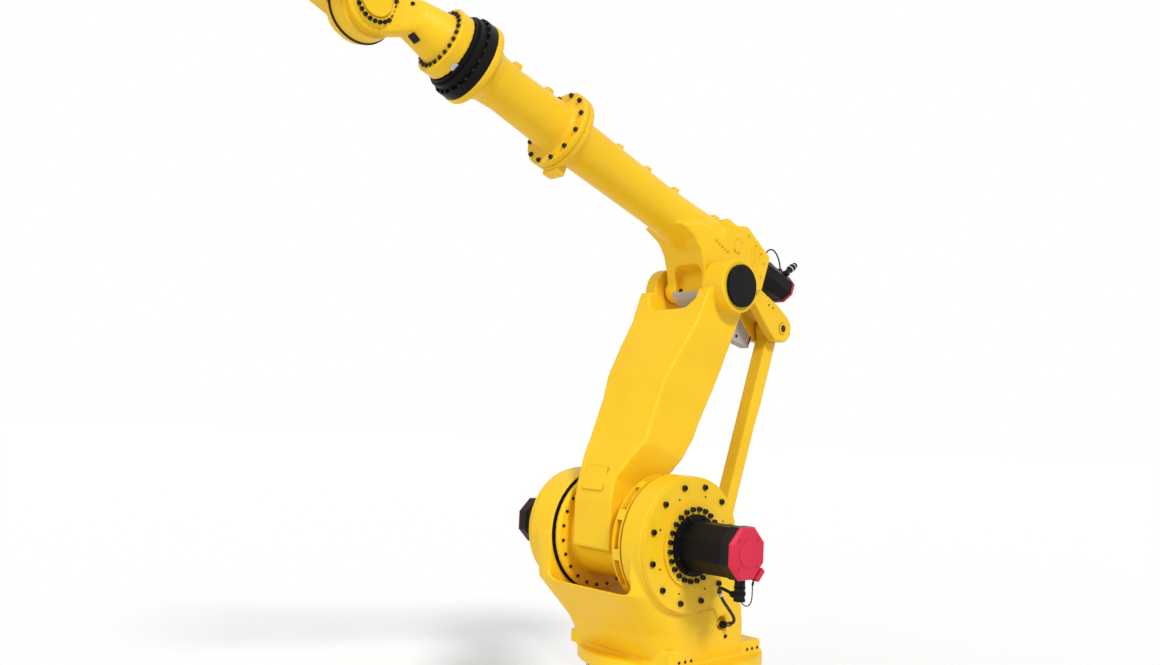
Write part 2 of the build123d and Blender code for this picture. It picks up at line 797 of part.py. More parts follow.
# Wrist head: a disc beside the housing and the turning unit in front of it.
with BuildPart() as wrist_head:
    y_disc(wrist_x, wrist_z, bend_head_out, bend_head_in, bend_head_r)
    y_disc(wrist_x, wrist_z, bend_back_out, bend_head_out + 1, bend_back_r)
    y_disc(wrist_x, wrist_z, bend_head_in - 1, bend_body_in + 28, bend_stub_r)
    with BuildSketch(fore_plane.offset(-bend_head_in)):
        with BuildLine():
            Polyline(
                (wrist_s, head_arm_half + 20),
                (wrist_s + head_arm_reach, head_arm_half),
                (wrist_s + head_arm_reach, -head_arm_half),
                (wrist_s, -head_arm_half - 20),
                close=True,
            )
        make_face()
    extrude(amount=bend_head_in - bend_back_out)
    with Locations(fore_plane.offset(-bend_head_in)):
        with Locations((wrist_s + head_arm_reach - 50, 0, -110)):
            Box(100, 2 * head_arm_half, 220 + 2)
    s_disc(wrist_s + turn_unit_s, wrist_s + turn_unit_end, turn_unit_r)
    s_disc(wrist_s + turn_unit_end - 20, wrist_s + turn_unit_end + 1, turn_stub_r + run_gap, mode=Mode.SUBTRACT)
with BuildPart() as bend_seal:
    y_disc(wrist_x, wrist_z, bend_body_in, bend_body_in + 9, seal_ring_r)
    y_disc(wrist_x, wrist_z, bend_body_in - 1, bend_body_in + 10, bend_body_r, mode=Mode.SUBTRACT)

# Tool flange.
flange_low_s = wrist_s + turn_unit_end + 5
flange_high_s = flange_low_s + tool_thickness
with BuildPart() as tool_flange:
    s_disc(flange_low_s, flange_high_s, tool_r)
    s_disc(flange_low_s - 23, flange_low_s, turn_stub_r)
    s_disc(flange_high_s - 8, flange_high_s + 1, tool_pilot_r, mode=Mode.SUBTRACT)
    with Locations(s_plane(flange_high_s - 30)):
        with PolarLocations(tool_bolt_r, 6):
            Cylinder(tool_hole_r, 31, align=upright, mode=Mode.SUBTRACT)

# Sockets that the cords plug into, and two plugs on the wrist roll motor.
plug_dir = Vector(*along(-0.6, 0.8)) - Vector(*along(0))
socket_r = 23
with BuildPart() as cable_socket:
    with Locations((socket_x, socket_y, socket_low)):
        Cylinder(socket_r, shoulder_z - motor_flats / 4 - socket_low, align=upright)
    with BuildSketch(Plane(origin=(shoulder_x, near_face, shoulder_z), x_dir=(1, 0, 0), z_dir=(0, 1, 0))):
        Polygon(*octagon(motor_flats), align=None)
    extrude(amount=motor_end - near_face, mode=Mode.SUBTRACT)
    with BuildSketch(Plane(origin=motor_cable_path[0], z_dir=Vector(*motor_cable_path[0]) - Vector(*motor_cable_path[1]))):
        Circle(socket_elbow_r)
    extrude(amount=socket_elbow)
cap_facet = (motor_flats + 8) / 2 / sqrt(2)
cap_socket_shift = 6
cap_socket_at = (
    shoulder_x - cap_facet + cap_socket_shift,
    motor_end - 14,
    shoulder_z - cap_facet - cap_socket_shift,
)
with BuildPart() as cap_socket:
    with Locations(Plane(origin=cap_socket_at, x_dir=(1, 0, -1), z_dir=(-1, 0, -1))):
        Box(56, 36, 24, align=upright)
with BuildPart() as wrist_socket_front:
    with Locations(Plane(origin=along(*wrist_front_socket), x_dir=fore_u, z_dir=fore_v)):
        Cylinder(13, wrist_cable_route[0][1] - wrist_front_socket[1], align=upright)
with BuildPart() as wrist_socket_rear:
    with Locations(Plane(origin=along(*wrist_rear_socket), x_dir=fore_u, z_dir=fore_v)):
        Cylinder(13, wrist_cable_route[-1][1] - wrist_rear_socket[1], align=upright)
with BuildPart() as wrist_plug_upper:
    with Locations(fore_plane):
        with Locations((small_motor_end + 16, 87 + 8, -86)):
            Box(30, 16, 34)
    with Locations(Plane(origin=along(small_motor_end + 12, 101, 86), x_dir=(0, 1, 0), z_dir=plug_dir)):
        Cylinder(14, 92, align=upright)
    with Locations(Plane(origin=along(small_motor_end + 12, 101, 86), x_dir=(0, 1, 0), z_dir=plug_dir)):
        with Locations((0, 0, 40)):
            Cylinder(18, 34, align=upright)
with BuildPart() as wrist_plug_lower:
    s_disc(small_cap_end - 52, small_cap_end, 13, v=52, y=72)
    s_disc(small_cap_end - 52, small_cap_end - 16, 17, v=52, y=72)


def cord_tube(path, thickness):
    """A cord as straight runs joined by arcs that are as large as the runs allow."""
    points = [Vector(*p) for p in path]
    radii = []
    for before, here, after in zip(points, points[1:], points[2:]):
        turn = (here - before).get_angle(after - here)
        run = min((here - before).length, (after - here).length)
        radii.append(0.45 * run / tan(radians(turn / 2)))
    line = FilletPolyline(*points, radius=radii)
    with BuildPart() as tube:
        with BuildSketch(Plane(origin=points[0], z_dir=points[1] - points[0])):
            Circle(thickness / 2)
        sweep(path=line)
    share = tube.part.volume / (pi * thickness**2 / 4 * line.length)
    print("cord", [round(r) for r in radii], "length", round(line.length), "share", round(share, 3))
    return tube


motor_cable = cord_tube(motor_cable_path, motor_cable_d)
cap_wire = cord_tube(cap_wire_path, cap_wire_d)
wrist_cable = cord_tube([along(*p) for p in wrist_cable_route], wrist_cable_d)

pieces = {
    "base_casting": base_casting,
    "connector_panel": connector_panel,
    "turn_bearing": turn_bearing,
    "turntable_casting": turntable_casting,
    "near_cover": near_cover,
    "far_cover": far_cover,
    "near_motor": near_motor,
    "near_motor_cap": near_motor_cap,
    "far_motor": far_motor,
    "far_motor_cap": far_motor_cap,
    "cable_socket": cable_socket,
    "cap_socket": cap_socket,
    "motor_cable": motor_cable,
    "cap_wire": cap_wire,
    "turn_motor": turn_motor,
    "turn_motor_cap": turn_motor_cap,
    "lower_arm": lower_arm,
    "near_elbow_stub": near_elbow_stub,
    "far_elbow_stub": far_elbow_stub,
    "near_elbow_cap": near_elbow_cap,
    "far_elbow_cap": far_elbow_cap,
    "forearm_casting": forearm_casting,
    "extension_tube": extension_tube,
    "roll_reducer": roll_reducer,
    "elbow_cover": elbow_cover,
    "junction_box": junction_box,
    "wrist_socket_front": wrist_socket_front,
    "wrist_socket_rear": wrist_socket_rear,
    "wrist_cable": wrist_cable,
    "wrist_plug_upper": wrist_plug_upper,
    "wrist_plug_lower": wrist_plug_lower,
    "link_rod": link_rod,
    "top_pin": top_pin,
    "low_pin": low_pin,
    "crank": crank,
    "wrist_body": wrist_body,
    "bend_seal": bend_seal,
    "wrist_head": wrist_head,
    "tool_flange": tool_flange,
}
for name in wrist_motors:
    pieces[name + "_motor"] = wrist_motors[name]
    pieces[name + "_motor_cap"] = wrist_caps[name]
for name, piece in pieces.items():
    piece.part.label = name
    export_step(piece.part, "parts/" + name + ".step")
    print(name, len(piece.part.solids()), round(piece.part.volume / 1e6, 2))
print("elbow", elbow_x, elbow_z, "top pin", top_pin_x, top_pin_z, "low pin", low_pin_x, low_pin_z)
print("axis foot", axis_x, axis_z, "wrist", wrist_x, wrist_z, "flange", flange_high_s)
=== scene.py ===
"""Looks of an industrial robot arm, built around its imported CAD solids. Metres, in the frame of the part."""
import json
from math import cos, pi, radians, sin

import bmesh
import bpy
import numpy as np
from mathutils import Matrix, Vector


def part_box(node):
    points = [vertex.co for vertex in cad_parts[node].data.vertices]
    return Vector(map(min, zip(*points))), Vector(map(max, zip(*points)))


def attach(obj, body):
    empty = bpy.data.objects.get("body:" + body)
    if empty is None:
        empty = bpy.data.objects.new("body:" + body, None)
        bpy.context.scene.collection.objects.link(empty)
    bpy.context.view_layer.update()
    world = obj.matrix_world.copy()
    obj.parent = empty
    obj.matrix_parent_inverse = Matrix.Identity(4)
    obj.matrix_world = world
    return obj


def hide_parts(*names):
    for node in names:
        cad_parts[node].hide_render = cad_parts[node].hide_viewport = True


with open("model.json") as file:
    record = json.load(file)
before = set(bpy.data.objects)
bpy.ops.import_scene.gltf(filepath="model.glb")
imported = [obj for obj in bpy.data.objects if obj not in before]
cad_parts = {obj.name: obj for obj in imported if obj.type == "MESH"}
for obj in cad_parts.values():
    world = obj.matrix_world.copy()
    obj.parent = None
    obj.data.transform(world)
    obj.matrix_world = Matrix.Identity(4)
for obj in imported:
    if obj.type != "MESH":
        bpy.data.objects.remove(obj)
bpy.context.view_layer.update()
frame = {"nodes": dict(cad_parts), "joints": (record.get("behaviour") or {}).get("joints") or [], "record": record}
nodes = frame["nodes"]
joints = {joint["name"]: joint for joint in frame["joints"]}
bodies = frame["record"]["behaviour"]["bodies"]
body_of = {node: body for body, members in bodies.items() for node in members}
slot_of = {part["node"]: part["material_slot"] for part in frame["record"]["subparts"]}

# Directions and points of the rest pose, read from the joints.
LEFT = Vector((0, 1, 0))
RIGHT = -LEFT
UP = Vector((0, 0, 1))
FRONT = Vector((1, 0, 0))
ORIGIN = Vector((0, 0, 0))
shoulder = Vector(joints["shoulder"]["pos_m"])
elbow = Vector(joints["elbow"]["pos_m"])
wrist = Vector(joints["wrist_bend"]["pos_m"])
arm_a = (elbow - shoulder).normalized()
arm_n = Vector((arm_a.z, 0, -arm_a.x))
fore_u = Vector(joints["wrist_roll"]["axis"]).normalized()
fore_v = Vector((-fore_u.z, 0, fore_u.x))
roll_s = 1.664
fore_origin = Vector(joints["wrist_roll"]["pos_m"]) - roll_s * fore_u

# Sizes of the part that the details follow, in metres.
near_face = 0.392
far_face = 0.398
cover_step = 0.009
motor_flange = 0.016
motor_end = 0.704
flange_block_s = 1.017
flange_front_s = 1.081
ring_step_s = 1.612
wrist_face_s = 1.725
turn_low, turn_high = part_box("turn_motor_cap")


def along(s, v=0.0, y=0.0):
    """A point of the forearm: s along its axis, v above it, y to the left."""
    return fore_origin + s * fore_u + v * fore_v + y * LEFT


def on_arm(a, n, y):
    """A point of the lower arm: a along it from the shoulder, n to its front, y to the left."""
    return shoulder + a * arm_a + n * arm_n + y * LEFT


# Materials. Every surface has its own colour drift, painted shade in corners, roughness and bump.
# The noises that all surfaces share, each (scale, detail, roughness), and the part of its range that counts.
broad_noise = (3.0, 4, 0.5)
broad_range = (0.35, 0.65)
speckle_noise = (90, 6, 0.7)
speckle_range = (0.56, 0.8)
speckle_share = 0.35
patch_noise = (30, 5, 0.65)
patch_range = (0.3, 0.6)
patch_least = 0.5
smear_noise = (14, 6, 0.6)
smear_range = (0.3, 0.7)
bump_detail = 2
bump_roughness = 0.5

# Ambient occlusion from a shaded corner to an open face, and how much painted shade a corner gets at most.
corner_range = (0.40, 0.90)
corner_shade_most = 0.6

# How far smears make a surface smoother or rougher, and what else all surfaces share.
smoother = 0.06
rougher = 0.08
coat_roughness = 0.18
band_edge = 0.0004
probe_samples = 4


def add_noise(tree, coordinates, kind, stretch=None):
    """Noise in the part's own frame, and its factor output. kind is (scale, detail, roughness)."""
    noise = tree.nodes.new("ShaderNodeTexNoise")
    for socket, value in zip(("Scale", "Detail", "Roughness"), kind):
        noise.inputs[socket].default_value = value
    source = coordinates
    if stretch:
        mapping = tree.nodes.new("ShaderNodeMapping")
        mapping.inputs["Scale"].default_value = stretch
        tree.links.new(coordinates, mapping.inputs["Vector"])
        source = mapping.outputs["Vector"]
    tree.links.new(source, noise.inputs["Vector"])
    return noise.outputs["Fac"]


def remap(tree, value, source, target):
    """The value's range source, spread over the range target. Both are (low, high)."""
    node = tree.nodes.new("ShaderNodeMapRange")
    for socket, limit in zip(("From Min", "From Max", "To Min", "To Max"), (*source, *target)):
        node.inputs[socket].default_value = limit
    tree.links.new(value, node.inputs["Value"])
    return node.outputs["Result"]


def mix_colour(tree, factor, first, second):
    """A colour between first and second. Each is a colour or an output."""
    node = tree.nodes.new("ShaderNodeMix")
    node.data_type = "RGBA"
    tree.links.new(factor, node.inputs["Factor"])
    for value, socket in ((first, node.inputs["A"]), (second, node.inputs["B"])):
        if isinstance(value, bpy.types.NodeSocket):
            tree.links.new(value, socket)
        else:
            socket.default_value = (*value, 1)
    return node.outputs["Result"]


def above_level(tree, coordinates, direction, level):
    """1 above that level along the direction, and 0 below it."""
    reach = tree.nodes.new("ShaderNodeVectorMath")
    reach.operation = "DOT_PRODUCT"
    reach.inputs[1].default_value = direction
    tree.links.new(coordinates, reach.inputs[0])
    return remap(tree, reach.outputs["Value"], (level - band_edge, level + band_edge), (0, 1))


def corner_shade_share(tree, coordinates, shade_reach):
    """How much painted shade shows: patches of it in corners, none on open faces."""
    corner = tree.nodes.new("ShaderNodeAmbientOcclusion")
    corner.samples = probe_samples
    corner.inputs["Distance"].default_value = shade_reach
    patchy = add_noise(tree, coordinates, patch_noise)
    share = tree.nodes.new("ShaderNodeMath")
    share.operation = "MULTIPLY"
    tree.links.new(remap(tree, corner.outputs["AO"], corner_range, (corner_shade_most, 0)), share.inputs[0])
    tree.links.new(remap(tree, patchy, patch_range, (patch_least, 1)), share.inputs[1])
    return share.outputs[0]


def rounded_and_bumpy(tree, coordinates, edge, layers, stretch):
    """The normal of a surface with soft edges and layers of bumps, each (scale, height)."""
    bevel = tree.nodes.new("ShaderNodeBevel")
    bevel.samples = probe_samples
    bevel.inputs["Radius"].default_value = edge
    normal = bevel.outputs["Normal"]
    for scale, height in layers:
        bump = tree.nodes.new("ShaderNodeBump")
        bump.inputs["Strength"].default_value = 1.0
        bump.inputs["Distance"].default_value = height
        noise = add_noise(tree, coordinates, (scale, bump_detail, bump_roughness), stretch)
        tree.links.new(noise, bump.inputs["Height"])
        tree.links.new(normal, bump.inputs["Normal"])
        normal = bump.outputs["Normal"]
    return normal


def surface(
    name,
    colour,
    drift,
    shade_colour,
    rough,
    edge=0.003,
    metallic=0.0,
    coat=0.0,
    grain=(420, 0.0002),
    waves=(24, 0.0006),
    stretch=None,
    shade_reach=0.03,
    shine=0.3,
    band=None,
):
    """A material. colour drifts to drift, turns to a painted shade colour in corners, and grain and waves are
    (scale, height).

    band is (direction, level, colour): below that level along the direction the surface has that colour.
    """
    material = bpy.data.materials.new(name)
    material.use_nodes = True
    tree = material.node_tree
    shader = tree.nodes["Principled BSDF"]
    coordinates = tree.nodes.new("ShaderNodeTexCoord").outputs["Object"]
    broad = add_noise(tree, coordinates, broad_noise)
    paint = mix_colour(tree, remap(tree, broad, broad_range, (0, 1)), colour, drift)
    speckle = add_noise(tree, coordinates, speckle_noise)
    paint = mix_colour(tree, remap(tree, speckle, speckle_range, (0, speckle_share)), paint, drift)
    if band:
        direction, level, below = band
        paint = mix_colour(tree, above_level(tree, coordinates, direction, level), below, paint)
    # Painted shade: corners that ambient occlusion finds turn towards the shade colour.
    paint = mix_colour(tree, corner_shade_share(tree, coordinates, shade_reach), paint, shade_colour)
    tree.links.new(paint, shader.inputs["Base Color"])
    smear = add_noise(tree, coordinates, smear_noise, stretch)
    roughness = remap(tree, smear, smear_range, (rough - smoother, rough + rougher))
    tree.links.new(roughness, shader.inputs["Roughness"])
    shader.inputs["Metallic"].default_value = metallic
    shader.inputs["Specular IOR Level"].default_value = shine
    shader.inputs["Coat Weight"].default_value = coat
    shader.inputs["Coat Roughness"].default_value = coat_roughness
    normal = rounded_and_bumpy(tree, coordinates, edge, (waves, grain), stretch)
    tree.links.new(normal, shader.inputs["Normal"])
    return material


# The third colour of each material below is the painted shade that its corners and recesses get.
BLACK = (0.006, 0.006, 0.0065)
BLACK_SHADE = (0.002, 0.002, 0.002)
yellow = surface(
    "yellow_paint", (0.97, 0.612, 0.014), (0.93, 0.565, 0.012), (0.56, 0.27, 0.010), 0.44,
    coat=0.05, shine=0.25,
)
yellow_plate = surface(
    "plate_paint", (0.96, 0.62, 0.03), (0.92, 0.57, 0.025), (0.60, 0.32, 0.02), 0.5, edge=0.001, shine=0.2,
)
black = surface(
    "black_paint", BLACK, (0.010, 0.0095, 0.009), BLACK_SHADE, 0.42,
    edge=0.002, waves=(60, 0.0003), shine=0.08,
)
screw_black = surface(
    "black_screws", (0.008, 0.0078, 0.0078), (0.018, 0.016, 0.014), BLACK_SHADE, 0.38,
    edge=0.0008, waves=(200, 0.0001), shade_reach=0.006, shine=0.25,
)


def crimson_cap(name, band=None):
    """Red cap paint. Below the band's level the cap is black."""
    return surface(
        name, (0.72, 0.030, 0.078), (0.64, 0.024, 0.064), (0.28, 0.012, 0.026), 0.42,
        edge=0.002, waves=(60, 0.0003), shine=0.15, band=band,
    )


crimson = crimson_cap("red_cap")
steel = surface(
    "steel", (0.55, 0.54, 0.52), (0.45, 0.44, 0.42), (0.12, 0.10, 0.08), 0.32,
    edge=0.001, metallic=1.0, waves=(70, 0.0001), stretch=(1, 12, 1), shade_reach=0.02, shine=0.5,
)
dark_steel = surface(
    "dark_steel", (0.22, 0.21, 0.20), (0.16, 0.155, 0.15), (0.05, 0.045, 0.04), 0.38,
    edge=0.001, metallic=1.0, waves=(70, 0.0001), stretch=(1, 1, 14), shade_reach=0.02, shine=0.5,
)
grey = surface(
    "grey_cover", (0.50, 0.49, 0.50), (0.46, 0.45, 0.455), (0.28, 0.26, 0.25), 0.6,
    edge=0.002, grain=(700, 0.0003), waves=(40, 0.0004), shine=0.2, shade_reach=0.015,
)
rubber = surface(
    "seal_black", (0.007, 0.007, 0.0075), (0.013, 0.0125, 0.012), BLACK_SHADE, 0.5,
    edge=0.001, grain=(900, 0.0002), waves=(80, 0.0002), shade_reach=0.01, shine=0.14,
)
cable_skin = surface(
    "cable_skin", (0.010, 0.010, 0.011), (0.022, 0.021, 0.020), (0.003, 0.003, 0.003), 0.38,
    edge=0.0005, grain=(1200, 0.0001), waves=(150, 0.0001), shade_reach=0.005, shine=0.3,
)
slot_material = {
    "yellow_paint": yellow,
    "black_paint": black,
    "red_cap": crimson,
    "dark_steel": dark_steel,
    "steel": steel,
    "grey_cover": grey,
    "seal_black": rubber,
}

# The red end of each motor cap, as (direction, level of its start along the direction).
near_cap_red_y = 0.688
far_cap_red_y = 0.690
turn_cap_red_depth = 0.016
small_cap_red_s = -0.560
small_cap_level = -small_cap_red_s - fore_origin.dot(fore_u)
red_ends = {
    "near_motor_cap": (LEFT, near_cap_red_y),
    "far_motor_cap": (RIGHT, far_cap_red_y),
    "turn_motor_cap": (UP, turn_high.z - turn_cap_red_depth),
    "wrist_roll_motor_cap": (-fore_u, small_cap_level),
    "wrist_bend_motor_cap": (-fore_u, small_cap_level),
    "flange_turn_motor_cap": (-fore_u, small_cap_level),
}
for node, thing in nodes.items():
    thing.data.materials.clear()
    thing.data.materials.append(slot_material[slot_of[node]])
for node, (way, level) in red_ends.items():
    nodes[node].data.materials[0] = crimson_cap(node + "_paint", (way, level, BLACK))


# Pieces.
def add_piece(name, mesh, body, material):
    """A new piece of the object that rides on a body."""
    piece = bpy.data.objects.new(name, mesh)
    bpy.context.scene.collection.objects.link(piece)
    mesh.materials.clear()
    mesh.materials.append(material)
    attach(piece, body)
    return piece


def mesh_from(name, build):
    """A mesh made by build(bm), with its faces turned outward."""
    bm = bmesh.new()
    build(bm)
    bmesh.ops.recalc_face_normals(bm, faces=bm.faces)
    mesh = bpy.data.meshes.new(name)
    bm.to_mesh(mesh)
    bm.free()
    return mesh


# Cast pieces. Each stands for its CAD node: the same surface, with a casting's rounded edges and corners.
# The rounds of rounding are given for cells of cell_of_rounds. A finer mesh gets more rounds, so that its
# edges come out as wide.
full_cell = 0.006
cell = full_cell
cell_of_rounds = 0.0075
round_share = (cell_of_rounds / cell) ** 2
blend_rounds = 70

# In each round a vertex is pulled to the middle of its neighbours, then pushed back, which keeps the size.
pulls = (0.6, -0.55)

# The softness that a crisp zone keeps, the width of the step at its edge, and when CAD vertices are one.
least_softness = 0.06
zone_step = 0.02
same_point = 0.00002
cast = {}


def even_mesh(node, size):
    """The node's surface as an even mesh of cells of that size."""
    copy = bpy.data.objects.new(node + "_copy", nodes[node].data.copy())
    bpy.context.scene.collection.objects.link(copy)
    bm = bmesh.new()
    bm.from_mesh(copy.data)
    bmesh.ops.remove_doubles(bm, verts=bm.verts, dist=same_point)
    bm.to_mesh(copy.data)
    bm.free()
    remesh = copy.modifiers.new("even", "REMESH")
    remesh.mode = "VOXEL"
    remesh.voxel_size = size
    mesh = bpy.data.meshes.new_from_object(copy.evaluated_get(bpy.context.evaluated_depsgraph_get()))
    bpy.data.objects.remove(copy)
    return mesh


def relax(mesh, rounds, softness):
    """Rounds off the mesh's edges and corners. softness gives each vertex's share, from 0 to 1."""
    count = len(mesh.vertices)
    place = np.empty(count * 3)
    mesh.vertices.foreach_get("co", place)
    place = place.reshape(-1, 3)
    ends = np.empty(len(mesh.edges) * 2, int)
    mesh.edges.foreach_get("vertices", ends)
    first, second = ends[0::2], ends[1::2]
    links = np.bincount(first, minlength=count) + np.bincount(second, minlength=count)
    share = softness(place)[:, None]
    for _ in range(rounds):
        for pull in pulls:
            total = np.empty_like(place)
            for axis in range(3):
                total[:, axis] = np.bincount(first, place[second, axis], count)
                total[:, axis] += np.bincount(second, place[first, axis], count)
            place = place + pull * share * (total / links[:, None] - place)
    # The part stands on z = 0, and a push back may not carry its foot below that.
    place[:, 2] = np.maximum(place[:, 2], 0)
    mesh.vertices.foreach_set("co", place.astype(np.float32).ravel())
    mesh.update()


def far_from_axis(place, centre, axis, low, high, reach):
    """1 outside the round zone about an axis, 0 inside it, and a soft step between."""
    offset = place - np.array(centre)
    length = offset @ np.array(axis)
    across = np.linalg.norm(offset - length[:, None] * np.array(axis), axis=1)
    outside = np.maximum.reduce([across - reach, low - length, length - high])
    return np.clip(outside / zone_step, 0, 1)


def cast_piece(node, rounds, cell_share=1.0, crisp=(), blend=None):
    """A cast piece over a CAD node, with cells of that share of the usual size.

    Its crisp zones keep their edges and its blended one loses them.
    A zone is (centre, axis, low, high, reach).
    """
    mesh = even_mesh(node, cell * cell_share)

    def softness(place):
        share = np.ones(len(place))
        for zone in crisp:
            share = np.minimum(share, far_from_axis(place, *zone))
        return np.maximum(share, least_softness)

    relax(mesh, round(rounds * round_share), softness)
    if blend:
        relax(mesh, round(blend_rounds * round_share), lambda place: 1 - far_from_axis(place, *blend))
    mesh.shade_smooth()
    piece = add_piece(node + "_cast", mesh, body_of[node], yellow)
    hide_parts(node)
    cast[node] = piece


cast_piece(
    "lower_arm", rounds=18,
    crisp=[
        (shoulder, LEFT, -0.26, -0.15, 0.33),
        (shoulder, LEFT, 0.15, 0.26, 0.33),
        (elbow, LEFT, 0.20, 0.32, 0.17),
        (elbow, LEFT, -0.32, -0.20, 0.17),
    ],
)
cast_piece(
    "forearm_casting", rounds=9,
    crisp=[
        (along(0), fore_u, 1.00, 1.10, 0.25),
        (elbow, LEFT, 0.09, 0.2, 0.09),
        (elbow, LEFT, -0.2, -0.07, 0.09),
        (along(0), fore_u, -0.40, -0.325, 0.4),
        (along(flange_block_s, -0.19), fore_v, -0.05, 0.04, 0.07),
    ],
    blend=(along(0.33, -0.12), fore_u, -0.15, 0.20, 0.20),
)
cast_piece(
    "turntable_casting", rounds=10, cell_share=1.2,
    crisp=[
        (shoulder, LEFT, 0.34, 0.42, 0.36),
        (shoulder, LEFT, -0.42, -0.34, 0.36),
        (shoulder, LEFT, 0.22, 0.30, 0.32),
        (shoulder, LEFT, -0.30, -0.20, 0.32),
        (ORIGIN, UP, 0.39, 0.505, 0.5),
    ],
)
cast_piece("base_casting", rounds=7, cell_share=1.45, crisp=[(ORIGIN, UP, -0.1, 0.055, 0.9)])
cast_piece(
    "wrist_body", rounds=16, cell_share=0.75,
    crisp=[
        (along(0), fore_u, 1.60, 1.73, 0.2),
        (wrist, LEFT, -0.2, -0.1, 0.2),
        (wrist, LEFT, -0.1, 0.0, 0.125),
    ],
)
cast_piece("wrist_head", rounds=7, cell_share=0.75, crisp=[(wrist, LEFT, -0.23, -0.1, 0.2)])
cast_piece(
    "extension_tube", rounds=7,
    crisp=[(along(0), fore_u, 1.04, 1.09, 0.25), (along(0), fore_u, 1.53, 1.60, 0.25)],
)
cast_piece("link_rod", rounds=5, cell_share=0.85)


# Cords, each a smooth curve led by the control points of its route.
def cord_curve(name, route):
    """The smooth line of a cord."""
    curve = bpy.data.curves.new(name, "CURVE")
    curve.dimensions = "3D"
    curve.resolution_u = 10
    spline = curve.splines.new("NURBS")
    spline.points.add(len(route) - 1)
    for point, place in zip(spline.points, route):
        point.co = (*place, 1)
    spline.order_u = 3
    spline.use_endpoint_u = True
    return curve


def cord_piece(node, route, thickness, body):
    """A cord that stands for its CAD node."""
    curve = cord_curve(node, route)
    curve.bevel_depth = thickness / 2
    curve.bevel_resolution = 5
    curve.use_fill_caps = True
    curve.materials.append(cable_skin)
    piece = bpy.data.objects.new(node + "_cord", curve)
    bpy.context.scene.collection.objects.link(piece)
    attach(piece, body)
    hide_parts(node)
    return piece


motor_cable_path = [
    (0.222, 0.580, 0.850),
    (0.215, 0.532, 0.861),
    (0.202, 0.484, 0.867),
    (0.180, 0.448, 0.858),
    (0.148, 0.432, 0.826),
    (0.114, 0.428, 0.786),
    (0.078, 0.432, 0.748),
    (0.046, 0.434, 0.712),
    (0.028, 0.418, 0.684),
    (0.028, 0.380, 0.668),
    (0.035, 0.340, 0.664),
]
cap_wire_path = [
    (0.2395, 0.690, 0.9379),
    (0.252, 0.692, 0.922),
    (0.254, 0.694, 0.894),
    (0.250, 0.691, 0.864),
    (0.244, 0.680, 0.834),
    (0.239, 0.656, 0.818),
    (0.236, 0.632, 0.822),
    (0.235, 0.616, 0.838),
]
wrist_cable_route = [
    (-0.385, 0.116, 0.044),
    (-0.388, 0.144, 0.044),
    (-0.404, 0.174, 0.042),
    (-0.434, 0.193, 0.040),
    (-0.468, 0.190, 0.040),
    (-0.496, 0.170, 0.043),
    (-0.516, 0.144, 0.047),
    (-0.524, 0.118, 0.050),
]
wrist_cable_path = [tuple(along(*point)) for point in wrist_cable_route]
motor_cord = cord_piece("motor_cable", motor_cable_path, 0.015, "turntable")
cap_cord = cord_piece("cap_wire", cap_wire_path, 0.005, "turntable")
wrist_cord = cord_piece("wrist_cable", wrist_cable_path, 0.008, "forearm")


# Small parts. Each helper adds its shape to a mesh under construction, at a place given by a matrix.
# How far a part starts below the surface that it stands on, and each screw's turn after the one before.
sunk = 0.001
screw_turn = 1.7

# How far before its start point a line begins that looks for a surface.
landing_run_up = 0.15

# The 0 and 90 degree directions of circles on the shoulder's sides, across the forearm and on the wrist.
side_axes = (FRONT, UP)
face_axes = (LEFT, fore_v)
bend_axes = (fore_u, fore_v)

# Screws that are painted over.
painted = {"material": yellow, "slot": "yellow_paint"}
painted_red = {"material": crimson, "slot": "red_cap"}


def stand(at, axis, turn=0.0, along_axis=None):
    """The matrix that puts local z along the axis at that point. Local x follows along_axis where given."""
    z_way = Vector(axis).normalized()
    side = Vector(along_axis) if along_axis else z_way.orthogonal()
    x_way = (side - side.dot(z_way) * z_way).normalized()
    matrix = Matrix((x_way, z_way.cross(x_way), z_way)).transposed().to_4x4()
    return Matrix.Translation(at) @ matrix @ Matrix.Rotation(turn, 4, "Z")


def add_rings(bm, place, rings):
    """A closed skin through rings of points."""
    loops = [[bm.verts.new(place @ Vector(point)) for point in ring] for ring in rings]
    for low, high in zip(loops, loops[1:]):
        for k in range(len(low)):
            after = (k + 1) % len(low)
            bm.faces.new((low[k], low[after], high[after], high[k]))
    bm.faces.new(loops[0][::-1])
    bm.faces.new(loops[-1])


def round_ring(radius, height, sides):
    """Points of a circle at that height."""
    angles = [2 * pi * k / sides for k in range(sides)]
    return [(radius * cos(angle), radius * sin(angle), height) for angle in angles]


def hexagon_ring(apothem, height, sides):
    """Points of a hexagon at that height. sides is how many points the ring has, as a round one would."""
    ring = []
    for k in range(sides):
        angle = 2 * pi * k / sides
        reach = apothem / cos(angle % (pi / 3) - pi / 6)
        ring.append((reach * cos(angle), reach * sin(angle), height))
    return ring


def add_turned(bm, place, profile, sides):
    """A turned shape. profile is a list of (radius, height)."""
    add_rings(bm, place, [round_ring(radius, height, sides) for radius, height in profile])


def add_screw(bm, place, radius, height, sides=24):
    """A socket head screw, with a chamfered rim and a hexagon socket. Its shape is in shares of its size."""
    rim_start, rim_reach = 0.84, 0.88
    socket_top, socket_foot, socket_floor = 0.50, 0.47, 0.4
    rings = [
        round_ring(radius, -sunk, sides),
        round_ring(radius, rim_start * height, sides),
        round_ring(rim_reach * radius, height, sides),
        hexagon_ring(socket_top * radius, height, sides),
        hexagon_ring(socket_foot * radius, socket_floor * height, sides),
    ]
    add_rings(bm, place, rings)


